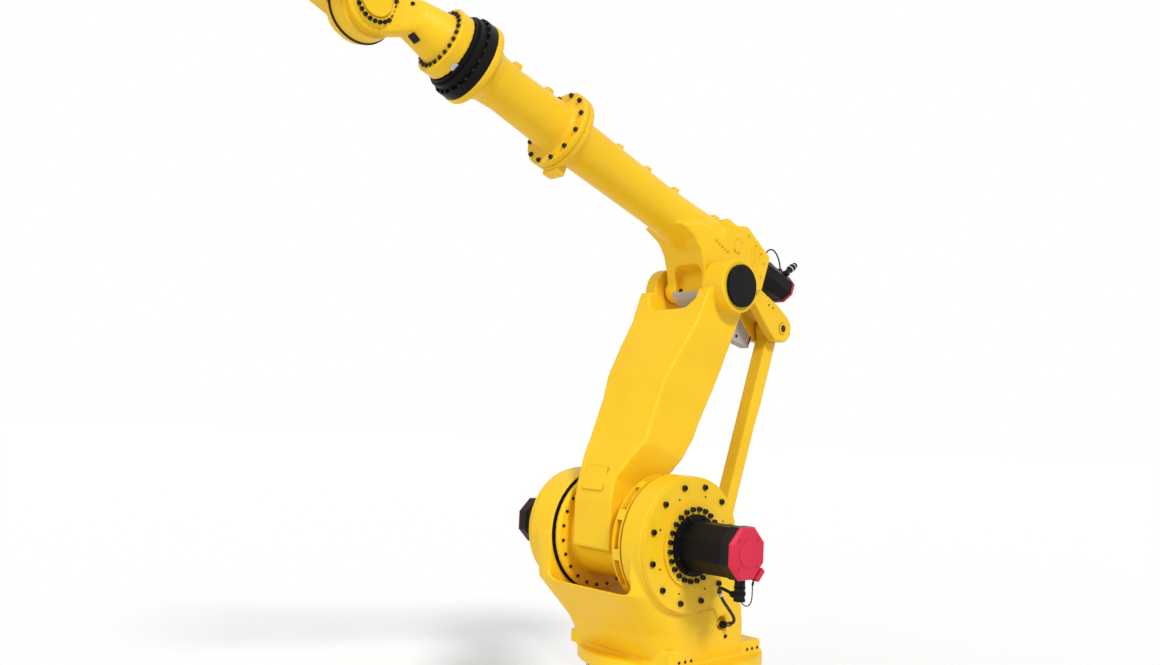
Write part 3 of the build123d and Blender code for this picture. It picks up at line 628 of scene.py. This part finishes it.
def add_plate(bm, place, width, depth, height, corner, edge=0.0012):
    """A flat plate with round corners and a chamfered rim. width is along local x, depth along local y."""
    corner_steps = 4

    def outline(inset, level):
        points = []
        for quarter, (sx, sy) in enumerate(((1, 1), (-1, 1), (-1, -1), (1, -1))):
            for step in range(corner_steps + 1):
                angle = pi / 2 * (quarter + step / corner_steps)
                x = sx * (width / 2 - corner) + (corner - inset) * cos(angle)
                y = sy * (depth / 2 - corner) + (corner - inset) * sin(angle)
                points.append((x, y, level))
        return points

    add_rings(bm, place, [outline(0, -sunk), outline(0, height - edge), outline(edge, height)])


def circle_points(centre, axes, reach, count, start):
    """Points of a circle. axes are its 0 and 90 degree directions."""
    points = []
    for k in range(count):
        angle = radians(start + 360 * k / count)
        points.append(centre + reach * (cos(angle) * axes[0] + sin(angle) * axes[1]))
    return points


def screw_piece(name, body, points, way, radius, height, material=screw_black, slot="black_paint"):
    """Like screws on one face as one piece. Each is turned a bit further than the one before."""
    def build(bm):
        for k, point in enumerate(points):
            add_screw(bm, stand(point, way, turn=screw_turn * k), radius, height)

    add_piece(name, mesh_from(name, build), body, material)


def screw_circle(name, body, centre, axes, way, reach, count, start, radius, height, **paint):
    """Like screws on a circle as one piece. reach is its radius and start its first angle, in degrees."""
    points = circle_points(centre, axes, reach, count, start)
    screw_piece(name, body, points, way, radius, height, **paint)


def turned_piece(name, body, at, way, profile, material, sides=64):
    """A turned shape as one piece. profile is a list of (radius, height)."""
    mesh = mesh_from(name, lambda bm: add_turned(bm, stand(at, way), profile, sides))
    return add_piece(name, mesh, body, material)


def ring_piece(name, body, at, way, inner, outer, low, high, material, sides=96, chamfer=0.0008):
    """A flat ring about an axis, from low to high along it."""
    section = [
        (inner, low),
        (outer - chamfer, low),
        (outer, low + chamfer),
        (outer, high - chamfer),
        (outer - chamfer, high),
        (inner, high),
    ]

    def build(bm):
        place = stand(at, way)
        loops = [[bm.verts.new(place @ Vector(p)) for p in round_ring(r, h, sides)] for r, h in section]
        for low_loop, high_loop in zip(loops, loops[1:] + loops[:1]):
            for k in range(sides):
                after = (k + 1) % sides
                bm.faces.new((low_loop[k], low_loop[after], high_loop[after], high_loop[k]))

    add_piece(name, mesh_from(name, build), body, material)


def landing(piece, start, way):
    """Where a line through start meets the piece, and the way its surface faces there."""
    way = Vector(way).normalized()
    hit, place, normal, _ = piece.ray_cast(Vector(start) - landing_run_up * way, way)
    if not hit:
        raise ValueError("nothing under " + piece.name + " at " + str(tuple(start)))
    return place, normal


def plate_on(node, name, start, way, size, height, material, slot, follow, corner=0.006):
    """A plate on the surface of a cast piece, found along a line. follow is the way its first side runs."""
    place, normal = landing(cast[node], start, way)
    stance = stand(place, normal, along_axis=follow)
    mesh = mesh_from(name, lambda bm: add_plate(bm, stance, *size, height, corner))
    add_piece(name, mesh, body_of[node], material)


def screws_on(node, name, starts, way, radius, height, material=screw_black, slot="black_paint"):
    """Screws on the surface of a cast piece, each found along a line."""
    def build(bm):
        for k, start in enumerate(starts):
            place, normal = landing(cast[node], start, way)
            add_screw(bm, stand(place, normal, turn=screw_turn * k), radius, height)

    add_piece(name, mesh_from(name, build), body_of[node], material)


# Shoulder drives, one on each side, with the same bolts and screws. Only the near cap has a boss and
# screws of its own, because the far cap's end is the side of the part's box.
def dress_drive(side, face, way, cover_bolt_reach):
    """Bolts, screws and pins of a drive that faces along way."""
    centre = shoulder + face * way
    step = centre + cover_step * way
    flange = step + motor_flange * way
    screw_circle(
        side + "_cover_bolts", "turntable", centre, side_axes, way,
        reach=cover_bolt_reach, count=12, start=45, radius=0.013, height=0.012,
    )
    screw_circle(
        side + "_drive_screws", "turntable", step, side_axes, way,
        reach=0.158, count=24, start=7.5, radius=0.0112, height=0.016,
    )
    screw_circle(
        side + "_cover_pins", "turntable", centre, side_axes, way,
        reach=0.221, count=8, start=20, radius=0.0045, height=0.0015,
    )
    screw_circle(
        side + "_motor_screws", "turntable", flange, side_axes, way,
        reach=0.1255, count=8, start=22.5, radius=0.0072, height=0.009,
    )


dress_drive("near", near_face, LEFT, cover_bolt_reach=0.259)
dress_drive("far", far_face, RIGHT, cover_bolt_reach=0.250)
near_cap = shoulder + motor_end * LEFT
near_boss = [(0.058, -sunk), (0.058, 0.002), (0.055, 0.0036), (0.020, 0.0036), (0.018, 0.0028)]
turned_piece("near_cap_boss", "turntable", near_cap, LEFT, near_boss, crimson)
screw_circle(
    "near_cap_screws", "turntable", near_cap, side_axes, LEFT,
    reach=0.084, count=4, start=45, radius=0.0055, height=0.0026, **painted_red,
)

# The lower arm's hub, between the two drives.
far_seal_y = 0.2202
hub_flange_y = 0.177
ring_piece(
    "far_hub_seal", "turntable", shoulder - far_seal_y * LEFT, LEFT,
    inner=0.151, outer=0.2895, low=0, high=0.0052, material=rubber,
)
screw_circle(
    "hub_screws", "lower_arm", shoulder - hub_flange_y * LEFT, side_axes, LEFT,
    reach=0.259, count=24, start=7.5, radius=0.0078, height=0.006,
)

# Turning motor at the rear.
turn_flange = 0.014
turn_centre = (turn_low + turn_high) / 2
turn_top = Vector((turn_centre.x, turn_centre.y, turn_high.z))
turn_boss = [(0.040, -sunk), (0.040, 0.002), (0.037, 0.0045), (0.024, 0.0052)]
turned_piece("turn_cap_boss", "turntable", turn_top, UP, turn_boss, crimson)
turn_foot_low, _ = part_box("turn_motor")
turn_foot = Vector((turn_centre.x, turn_centre.y, turn_foot_low.z))
ring_piece(
    "turn_motor_flange", "turntable", turn_foot, UP,
    inner=0.06, outer=0.112, low=0, high=turn_flange, material=black, chamfer=0.002,
)
screw_circle(
    "turn_motor_screws", "turntable", turn_foot + turn_flange * UP, (FRONT, LEFT), UP,
    reach=0.102, count=8, start=22.5, radius=0.0068, height=0.008,
)

# Forearm flanges and the wrist's roll joint.
screw_circle(
    "tube_flange_bolts", "forearm", along(flange_front_s), face_axes, fore_u,
    reach=0.1584, count=12, start=15, radius=0.0105, height=0.011,
)
screw_circle(
    "roll_ring_screws", "forearm", along(ring_step_s), face_axes, fore_u,
    reach=0.1642, count=24, start=7.5, radius=0.0064, height=0.007,
)
screw_circle(
    "wrist_flange_bolts", "wrist_body", along(wrist_face_s), face_axes, fore_u,
    reach=0.1165, count=24, start=0, radius=0.0086, height=0.010,
)
ring_piece(
    "roll_joint_seal", "forearm", along(roll_s), fore_u,
    inner=0.096, outer=0.136, low=-0.001, high=0.0022, material=rubber,
)

# Wrist housing.
bend_pad_y = 0.046
bend_groove_y = 0.0905
head_back_y = 0.262
turn_unit_s = 2.331
bend_pad = wrist - bend_pad_y * LEFT
screw_circle(
    "bend_pad_bolts", "wrist_body", bend_pad, bend_axes, LEFT,
    reach=0.084, count=24, start=0, radius=0.0085, height=0.010,
)
bend_cover = [(0.066, -sunk), (0.066, 0.004), (0.063, 0.007), (0.022, 0.008)]
turned_piece("bend_pad_cover", "wrist_body", bend_pad, LEFT, bend_cover, yellow)
ring_piece(
    "bend_groove_seal", "wrist_body", wrist - bend_groove_y * LEFT, LEFT,
    inner=0.1155, outer=0.1185, low=0, high=0.0025, material=rubber,
)
screw_circle(
    "head_cover_screws", "wrist_head", wrist - head_back_y * LEFT, bend_axes, RIGHT,
    reach=0.086, count=12, start=15, radius=0.0065, height=0.007,
)
screw_circle(
    "turn_unit_screws", "wrist_head", along(turn_unit_s), face_axes, fore_u,
    reach=0.079, count=12, start=15, radius=0.0055, height=0.005,
)
plate_on(
    "wrist_body", "neck_plug", along(s=1.8308, v=-0.0678, y=0.0048), way=(-0.63, -0.26, 0.73),
    size=(0.038, 0.038), height=0.004, material=rubber, slot="seal_black", follow=fore_u, corner=0.003,
)
screws_on(
    "wrist_body", "neck_screw", [along(s=1.8855, v=0.0476, y=0.0082)], way=(-0.77, -0.56, -0.3),
    radius=0.0085, height=0.006,
)
plate_on(
    "wrist_body", "roll_stop_plate", along(s=1.672, v=-0.111, y=0.085), way=fore_v * 0.8 - LEFT * 0.6,
    size=(0.036, 0.024), height=0.003, material=steel, slot="steel", follow=LEFT * 0.8 + fore_v * 0.6,
    corner=0.004,
)

# Turntable sides.
lug_hole_x = (0.306, 0.266, 0.227, -0.167, -0.204, -0.242)
lug_hole_y = 0.33
lug_hole_z = 0.524
for side, out in (("near", 1), ("far", -1)):
    lug_holes = [Vector((x, out * lug_hole_y, lug_hole_z)) for x in lug_hole_x]
    screws_on("turntable_casting", side + "_lug_plugs", lug_holes, (0, -out, 0), radius=0.0075, height=0.0015)
side_plate = Vector((0.150, 0.36, 0.690))
rivet_x = 0.051
rivet_z = 0.045
plate_on(
    "turntable_casting", "near_side_plate", side_plate, RIGHT,
    size=(0.118, 0.106), height=0.0022, material=yellow_plate, slot="yellow_paint", follow=FRONT,
)
screws_on(
    "turntable_casting", "near_side_plate_rivets",
    [side_plate + Vector((rivet_x * i, 0, rivet_z * j)) for i in (-1, 1) for j in (-1, 1)], RIGHT,
    radius=0.0032, height=0.0036, material=steel, slot="steel",
)
side_screw = Vector((0.007, 0.35, 0.609))
screws_on("turntable_casting", "side_screw", [side_screw], RIGHT, radius=0.009, height=0.006)

# Lower arm. The far elbow cap is narrower than its CAD node, as the photograph doesn't show its rim.
near_cap_y = 0.307
far_lug_y = 0.240
far_cap_y = 0.257
plate_on(
    "lower_arm", "arm_front_plate", on_arm(a=0.185, n=0.30, y=-0.008), -arm_n,
    size=(0.135, 0.110), height=0.0009, material=yellow, slot="yellow_paint", follow=LEFT,
)
screw_circle(
    "near_elbow_cap_screws", "lower_arm", elbow + near_cap_y * LEFT, (arm_n, arm_a), LEFT,
    reach=0.088, count=8, start=22.5, radius=0.0050, height=0.002,
)
far_elbow_cap = [(0.076, -sunk), (0.076, 0.014), (0.073, 0.017), (0.020, 0.017)]
far_elbow_end = turned_piece(
    "far_elbow_end", "lower_arm", elbow - far_lug_y * LEFT, RIGHT, far_elbow_cap, black,
)
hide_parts("far_elbow_cap")
screw_circle(
    "far_elbow_end_screws", "lower_arm", elbow - far_cap_y * LEFT, (arm_n, arm_a), RIGHT,
    reach=0.062, count=8, start=22.5, radius=0.0050, height=0.002,
)

# Forearm housing. The screws of its gear case are painted over.
lever_y = 0.099
lever_plug_s = (-0.4547, -0.4912)
lever_plug_v = -0.1268
case_y = 0.128
case_cover_s = -0.080
case_cover_v = 0.020
cover_screw_s = 0.017
cover_screw_v = 0.027
for side, y, way in (("near", lever_y, LEFT), ("far", -lever_y, RIGHT)):
    lever_plugs = [along(s, lever_plug_v, y) for s in lever_plug_s]
    screws_on("forearm_casting", side + "_lever_plugs", lever_plugs, -way, radius=0.0055, height=0.0015)
pocket_screw = along(s=0.028, v=-0.2684, y=-0.060)
screws_on("forearm_casting", "pocket_screw", [pocket_screw], -fore_u, radius=0.010, height=0.007)
case_screws = [(0.074, -0.030), (0.050, -0.036), (0.026, -0.040), (0.002, -0.042), (-0.022, -0.042)]
screws_on(
    "forearm_casting", "gear_case_screws", [along(s, v, case_y) for s, v in case_screws], RIGHT,
    radius=0.0062, height=0.005, **painted,
)
plate_on(
    "forearm_casting", "gear_case_cover", along(case_cover_s, case_cover_v, case_y), RIGHT,
    size=(0.050, 0.072), height=0.004, follow=fore_u, **painted,
)
cover_screws = [
    along(case_cover_s + cover_screw_s * i, case_cover_v + cover_screw_v * j, case_y)
    for i in (-1, 1)
    for j in (-1, 1)
]
screws_on(
    "forearm_casting", "gear_case_cover_screws", cover_screws, RIGHT, radius=0.0042, height=0.0075, **painted,
)
rim_screws = [
    (-0.136, 0.104),
    (-0.206, 0.086),
    (-0.262, 0.068),
    (-0.300, 0.030),
    (-0.300, -0.040),
    (-0.262, -0.090),
]
screws_on(
    "forearm_casting", "gear_case_rim_screws", [along(s, v, case_y) for s, v in rim_screws], RIGHT,
    radius=0.0058, height=0.005, **painted,
)


# Blocks on the forearm: the cable pads, each (s, top, length, width), and one under the middle flange.
def block_piece(name, s, top, way, length, width, depth):
    """A machined block on the forearm, from its top down by depth. way is the side that its top faces."""
    foot = along(s) + (top - depth) * way

    def build(bm):
        place = stand(foot, way, along_axis=fore_u)
        add_plate(bm, place, length, width, depth, corner=0.006, edge=0.0025)

    add_piece(name, mesh_from(name, build), "forearm", yellow)


cable_pads = [
    (0.728, 0.1265, 0.036, 0.054),
    (0.529, 0.1265, 0.036, 0.054),
    (0.324, 0.1315, 0.036, 0.054),
    (0.020, 0.1435, 0.042, 0.070),
    (-0.084, 0.1705, 0.064, 0.082),
    (1.370, 0.1265, 0.038, 0.058),
    (1.185, 0.1265, 0.038, 0.058),
]
pad_depth = 0.030
pad_hole_y = 0.013
for k, (s, top, length, width) in enumerate(cable_pads):
    block_piece("cable_pad_%d" % (k + 1), s, top, fore_v, length, width, pad_depth)
block_piece("flange_block", s=flange_block_s, top=0.1965, way=-fore_v, length=0.053, width=0.093, depth=0.046)
pad_holes = [along(s, top, pad_hole_y * k) for s, top, _, _ in cable_pads for k in (-1, 1)]
screw_piece("cable_pad_screws", "forearm", pad_holes, fore_v, radius=0.0055, height=0.0018)

# Curved ribs on the near face of the gear case, about one centre. The angles are in degrees.
rib_centre_s = -0.060
rib_radii = (0.140, 0.168, 0.196)
rib_start = 152
rib_stop = 204
rib_steps = 16
rib_width = 0.010
rib_foot_y = 0.126
rib_top_y = 0.1318
rib_section = (
    (-rib_width / 2, rib_foot_y),
    (-rib_width / 4, rib_top_y),
    (rib_width / 4, rib_top_y),
    (rib_width / 2, rib_foot_y),
)


def build_ribs(bm):
    """The ribs, one behind another."""
    for radius in rib_radii:
        rings = []
        for step in range(rib_steps + 1):
            angle = radians(rib_start + (rib_stop - rib_start) * step / rib_steps)
            ring = []
            for shift, y in rib_section:
                reach = radius + shift
                ring.append(along(rib_centre_s + reach * cos(angle), reach * sin(angle), y))
            rings.append(ring)
        add_rings(bm, Matrix(), rings)


add_piece("gear_case_ribs", mesh_from("gear_case_ribs", build_ribs), "forearm", yellow)


# Junction box, with the strap around it.
def build_strap(bm):
    """The strap's length on the near side of the box."""
    place = stand(along(s=-0.547, v=-0.272, y=-0.050), LEFT, along_axis=fore_v)
    add_plate(bm, place, width=0.062, depth=0.010, height=0.0022, corner=0.003, edge=0.0008)


add_piece("junction_box_strap", mesh_from("junction_box_strap", build_strap), "forearm", rubber)
box_screw = along(s=-0.437, v=-0.306, y=-0.050)
screw_piece("junction_box_screw", "forearm", [box_screw], LEFT, radius=0.0075, height=0.005)

# Link pins, each (node, body, joint, reach from the middle to its end).
pin_end = [(0.0190, -sunk), (0.0190, 0.0020), (0.0178, 0.0032), (0.006, 0.0032)]
for node, body, joint, reach in (
    ("top_pin", "forearm", "link_top", 0.099),
    ("low_pin", "crank", "link_low", 0.078),
):
    centre = Vector(joints[joint]["pos_m"])
    nodes[node].data.materials[0] = dark_steel
    for side, way in (("near", LEFT), ("far", RIGHT)):
        end = centre + reach * way
        turned_piece(node + "_" + side + "_end", body, end, way, pin_end, screw_black)
        ring_piece(
            node + "_" + side + "_washer", body, end, way,
            inner=0.0192, outer=0.0305, low=-0.0005, high=0.0022, material=yellow,
        )

# Nuts on the motor cable's socket, each (height of its foot, radius, height).
socket_low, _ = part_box("cable_socket")
socket_axis = Vector((0.236, 0.612, socket_low.z))
socket_nuts = [(0.004, 0.0255, 0.012), (0.030, 0.0265, 0.016), (0.058, 0.0250, 0.010)]
for k, (level, reach, tall) in enumerate(socket_nuts):
    ring_piece(
        "socket_nut_%d" % (k + 1), "turntable", socket_axis + level * UP, UP,
        inner=0.022, outer=reach, low=0, high=tall, material=black,
        sides=18, chamfer=0.0012,
    )


# Collars around the cords.
def cord_line(route):
    """Points along the smooth line of a cord, read from its spline."""
    holder = bpy.data.objects.new("line", cord_curve("line", route))
    bpy.context.scene.collection.objects.link(holder)
    line = bpy.data.meshes.new_from_object(holder)
    points = [vertex.co.copy() for vertex in line.vertices]
    bpy.data.objects.remove(holder)
    return points


def cord_collar(name, route, place, reach, width, material):
    """A collar around a cord of the turntable, at the point of its line nearest to that place."""
    points = cord_line(route)
    k = min(range(1, len(points) - 1), key=lambda k: (points[k] - Vector(place)).length)
    way = points[k + 1] - points[k - 1]
    edge = 0.12 * width
    profile = [
        (reach - edge, -width / 2),
        (reach, edge - width / 2),
        (reach, width / 2 - edge),
        (reach - edge, width / 2),
    ]
    turned_piece(name, "turntable", points[k], way, profile, material, sides=32)


cable_collars = [
    ("cable_band", (0.150, 0.432, 0.828), 0.0105, 0.022, steel, "steel"),
    ("cable_band_lock", (0.161, 0.437, 0.840), 0.0118, 0.007, dark_steel, "dark_steel"),
    ("cable_entry_nut", (0.031, 0.360, 0.666), 0.0165, 0.026, rubber, "seal_black"),
    ("cable_entry_ring", (0.028, 0.392, 0.672), 0.0125, 0.018, dark_steel, "dark_steel"),
    ("cable_elbow_nut", (0.220, 0.566, 0.853), 0.0145, 0.018, rubber, "seal_black"),
]
for name, place, reach, width, material, slot in cable_collars:
    cord_collar(name, motor_cable_path, place, reach, width, material)
cord_collar("wire_sleeve", cap_wire_path, cap_wire_path[1], 0.0048, 0.020, rubber)


# Rings on the two plugs of the wrist roll motor, each (height of its foot, radius, height, material, slot).
def plug_rings(name, foot, way, inner, rings):
    """Rings around a plug, from its foot along way."""
    for k, (level, reach, tall, material, slot) in enumerate(rings):
        ring_piece(
            name + "_%d" % (k + 1), "forearm", foot + level * way, way,
            inner=inner, outer=reach, low=0, high=tall, material=material, sides=28, chamfer=0.001,
        )


upper_rings = [
    (0.036, 0.0200, 0.008, steel, "steel"),
    (0.048, 0.0198, 0.014, rubber, "seal_black"),
    (0.066, 0.0198, 0.006, steel, "steel"),
    (0.078, 0.0165, 0.010, rubber, "seal_black"),
]
lower_rings = [
    (0.009, 0.0188, 0.008, steel, "steel"),
    (0.021, 0.0186, 0.010, rubber, "seal_black"),
]
upper_way = 0.8 * fore_v - 0.6 * fore_u
plug_rings("upper_plug_ring", along(s=-0.536, v=0.101, y=0.086), upper_way, 0.012, upper_rings)
plug_rings("lower_plug_ring", along(s=-0.627, v=0.052, y=0.072), fore_u, 0.011, lower_rings)

# Nuts where the wrist cable enters its two sockets.
socket_top_v = 0.097
for name, s, y in (("front", -0.385, 0.044), ("rear", -0.524, 0.050)):
    ring_piece(
        "wrist_socket_" + name + "_nut", "forearm", along(s, socket_top_v, y), fore_v,
        inner=0.008, outer=0.0155, low=0, high=0.009, material=steel, sides=6,
    )


def way_to(azimuth, elevation):
    """The direction at that azimuth from the front and that elevation, in degrees."""
    turn = radians(azimuth)
    rise = radians(elevation)
    return Vector((cos(turn) * cos(rise), sin(turn) * cos(rise), sin(rise)))


# Camera, at the photograph's angle. The photograph's sizes are in its pixels, and the angles in degrees.
photo_width = 1160
photo_height = 665
focal_pixels = 1004.4
centre_x = 591.3
centre_y = 393.4
camera_place = (3.6222, 3.3379, 1.6131)
camera_azimuth = 47.63
camera_elevation = -1.08
camera_roll = radians(2.26)
sensor_width = 36
far_limit = 200
back = way_to(camera_azimuth, camera_elevation)
level_right = Vector((-sin(radians(camera_azimuth)), cos(radians(camera_azimuth)), 0))
level_up = back.cross(level_right)
picture_right = level_right * cos(camera_roll) + level_up * sin(camera_roll)
picture_up = level_up * cos(camera_roll) - level_right * sin(camera_roll)
camera = bpy.data.objects.new("camera", bpy.data.cameras.new("camera"))
bpy.context.scene.collection.objects.link(camera)
camera_turn = Matrix((picture_right, picture_up, back)).transposed().to_4x4()
camera.matrix_world = Matrix.Translation(camera_place) @ camera_turn
camera.data.sensor_width = sensor_width
camera.data.lens = focal_pixels * sensor_width / photo_width
camera.data.shift_x = (photo_width / 2 - centre_x) / photo_width
camera.data.shift_y = (centre_y - photo_height / 2) / photo_width
camera.data.clip_end = far_limit
bpy.context.scene.camera = camera

# Light: two soft suns, and a world that is brighter to the eye than as a light.
WHITE = (1, 1, 1, 1)
sun_distance = 8
world_light = 0.32
world_backdrop = 1.0


def sun(name, azimuth, elevation, strength, spread, colour):
    """A soft sun from that direction. Its angles are in degrees."""
    light = bpy.data.lights.new(name, "SUN")
    light.energy = strength
    light.angle = radians(spread)
    light.color = colour
    thing = bpy.data.objects.new(name, light)
    bpy.context.scene.collection.objects.link(thing)
    way = way_to(azimuth, elevation)
    thing.location = sun_distance * way
    thing.rotation_euler = way.to_track_quat("Z", "Y").to_euler()


def seen_directly(tree):
    """1 where the camera, a mirror or glass sees the surface, and 0 where it only gives light."""
    path = tree.nodes.new("ShaderNodeLightPath")
    value = path.outputs["Is Camera Ray"]
    for kind in ("Is Glossy Ray", "Is Transmission Ray"):
        either = tree.nodes.new("ShaderNodeMath")
        either.operation = "MAXIMUM"
        tree.links.new(value, either.inputs[0])
        tree.links.new(path.outputs[kind], either.inputs[1])
        value = either.outputs[0]
    return value


def add_background(tree, strength):
    """White light from all around."""
    background = tree.nodes.new("ShaderNodeBackground")
    background.inputs["Color"].default_value = WHITE
    background.inputs["Strength"].default_value = strength
    return background


sun("key_sun", azimuth=74, elevation=40, strength=1.90, spread=12, colour=(1.0, 0.99, 0.97))
sun("front_sun", azimuth=4, elevation=24, strength=0.95, spread=50, colour=(1.0, 0.99, 0.98))
world = bpy.data.worlds.new("studio")
bpy.context.scene.world = world
world.use_nodes = True
tree = world.node_tree
tree.nodes.clear()
dim = add_background(tree, world_light)
bright = add_background(tree, world_backdrop)
choice = tree.nodes.new("ShaderNodeMixShader")
world_output = tree.nodes.new("ShaderNodeOutputWorld")
tree.links.new(seen_directly(tree), choice.inputs["Fac"])
tree.links.new(dim.outputs[0], choice.inputs[1])
tree.links.new(bright.outputs[0], choice.inputs[2])
tree.links.new(choice.outputs[0], world_output.inputs["Surface"])

# Floor: matt white paper, which glows a little to the eye so that its far part fades into the white.
floor_radius = 60
floor_sides = 96
floor_gap = 0.001
paper_white = 0.93
paper_glow = 0.225


def build_floor(bm):
    """A round floor."""
    bmesh.ops.create_circle(bm, cap_ends=True, radius=floor_radius, segments=floor_sides)


floor_mesh = mesh_from("floor", build_floor)
floor = bpy.data.objects.new("floor", floor_mesh)
bpy.context.scene.collection.objects.link(floor)
floor.location = (0, 0, -floor_gap)
paper = bpy.data.materials.new("floor_paper")
paper.use_nodes = True
tree = paper.node_tree
shader = tree.nodes["Principled BSDF"]
shader.inputs["Base Color"].default_value = (paper_white, paper_white, paper_white, 1)
shader.inputs["Roughness"].default_value = 0.9
shader.inputs["Specular IOR Level"].default_value = 0.1
glow = tree.nodes.new("ShaderNodeEmission")
glow.inputs["Color"].default_value = WHITE
tree.links.new(remap(tree, seen_directly(tree), (0, 1), (0, paper_glow)), glow.inputs["Strength"])
both = tree.nodes.new("ShaderNodeAddShader")
tree.links.new(shader.outputs[0], both.inputs[0])
tree.links.new(glow.outputs[0], both.inputs[1])
tree.links.new(both.outputs[0], tree.nodes["Material Output"].inputs["Surface"])
floor_mesh.materials.append(paper)

bpy.context.scene.view_settings.view_transform = "Standard"
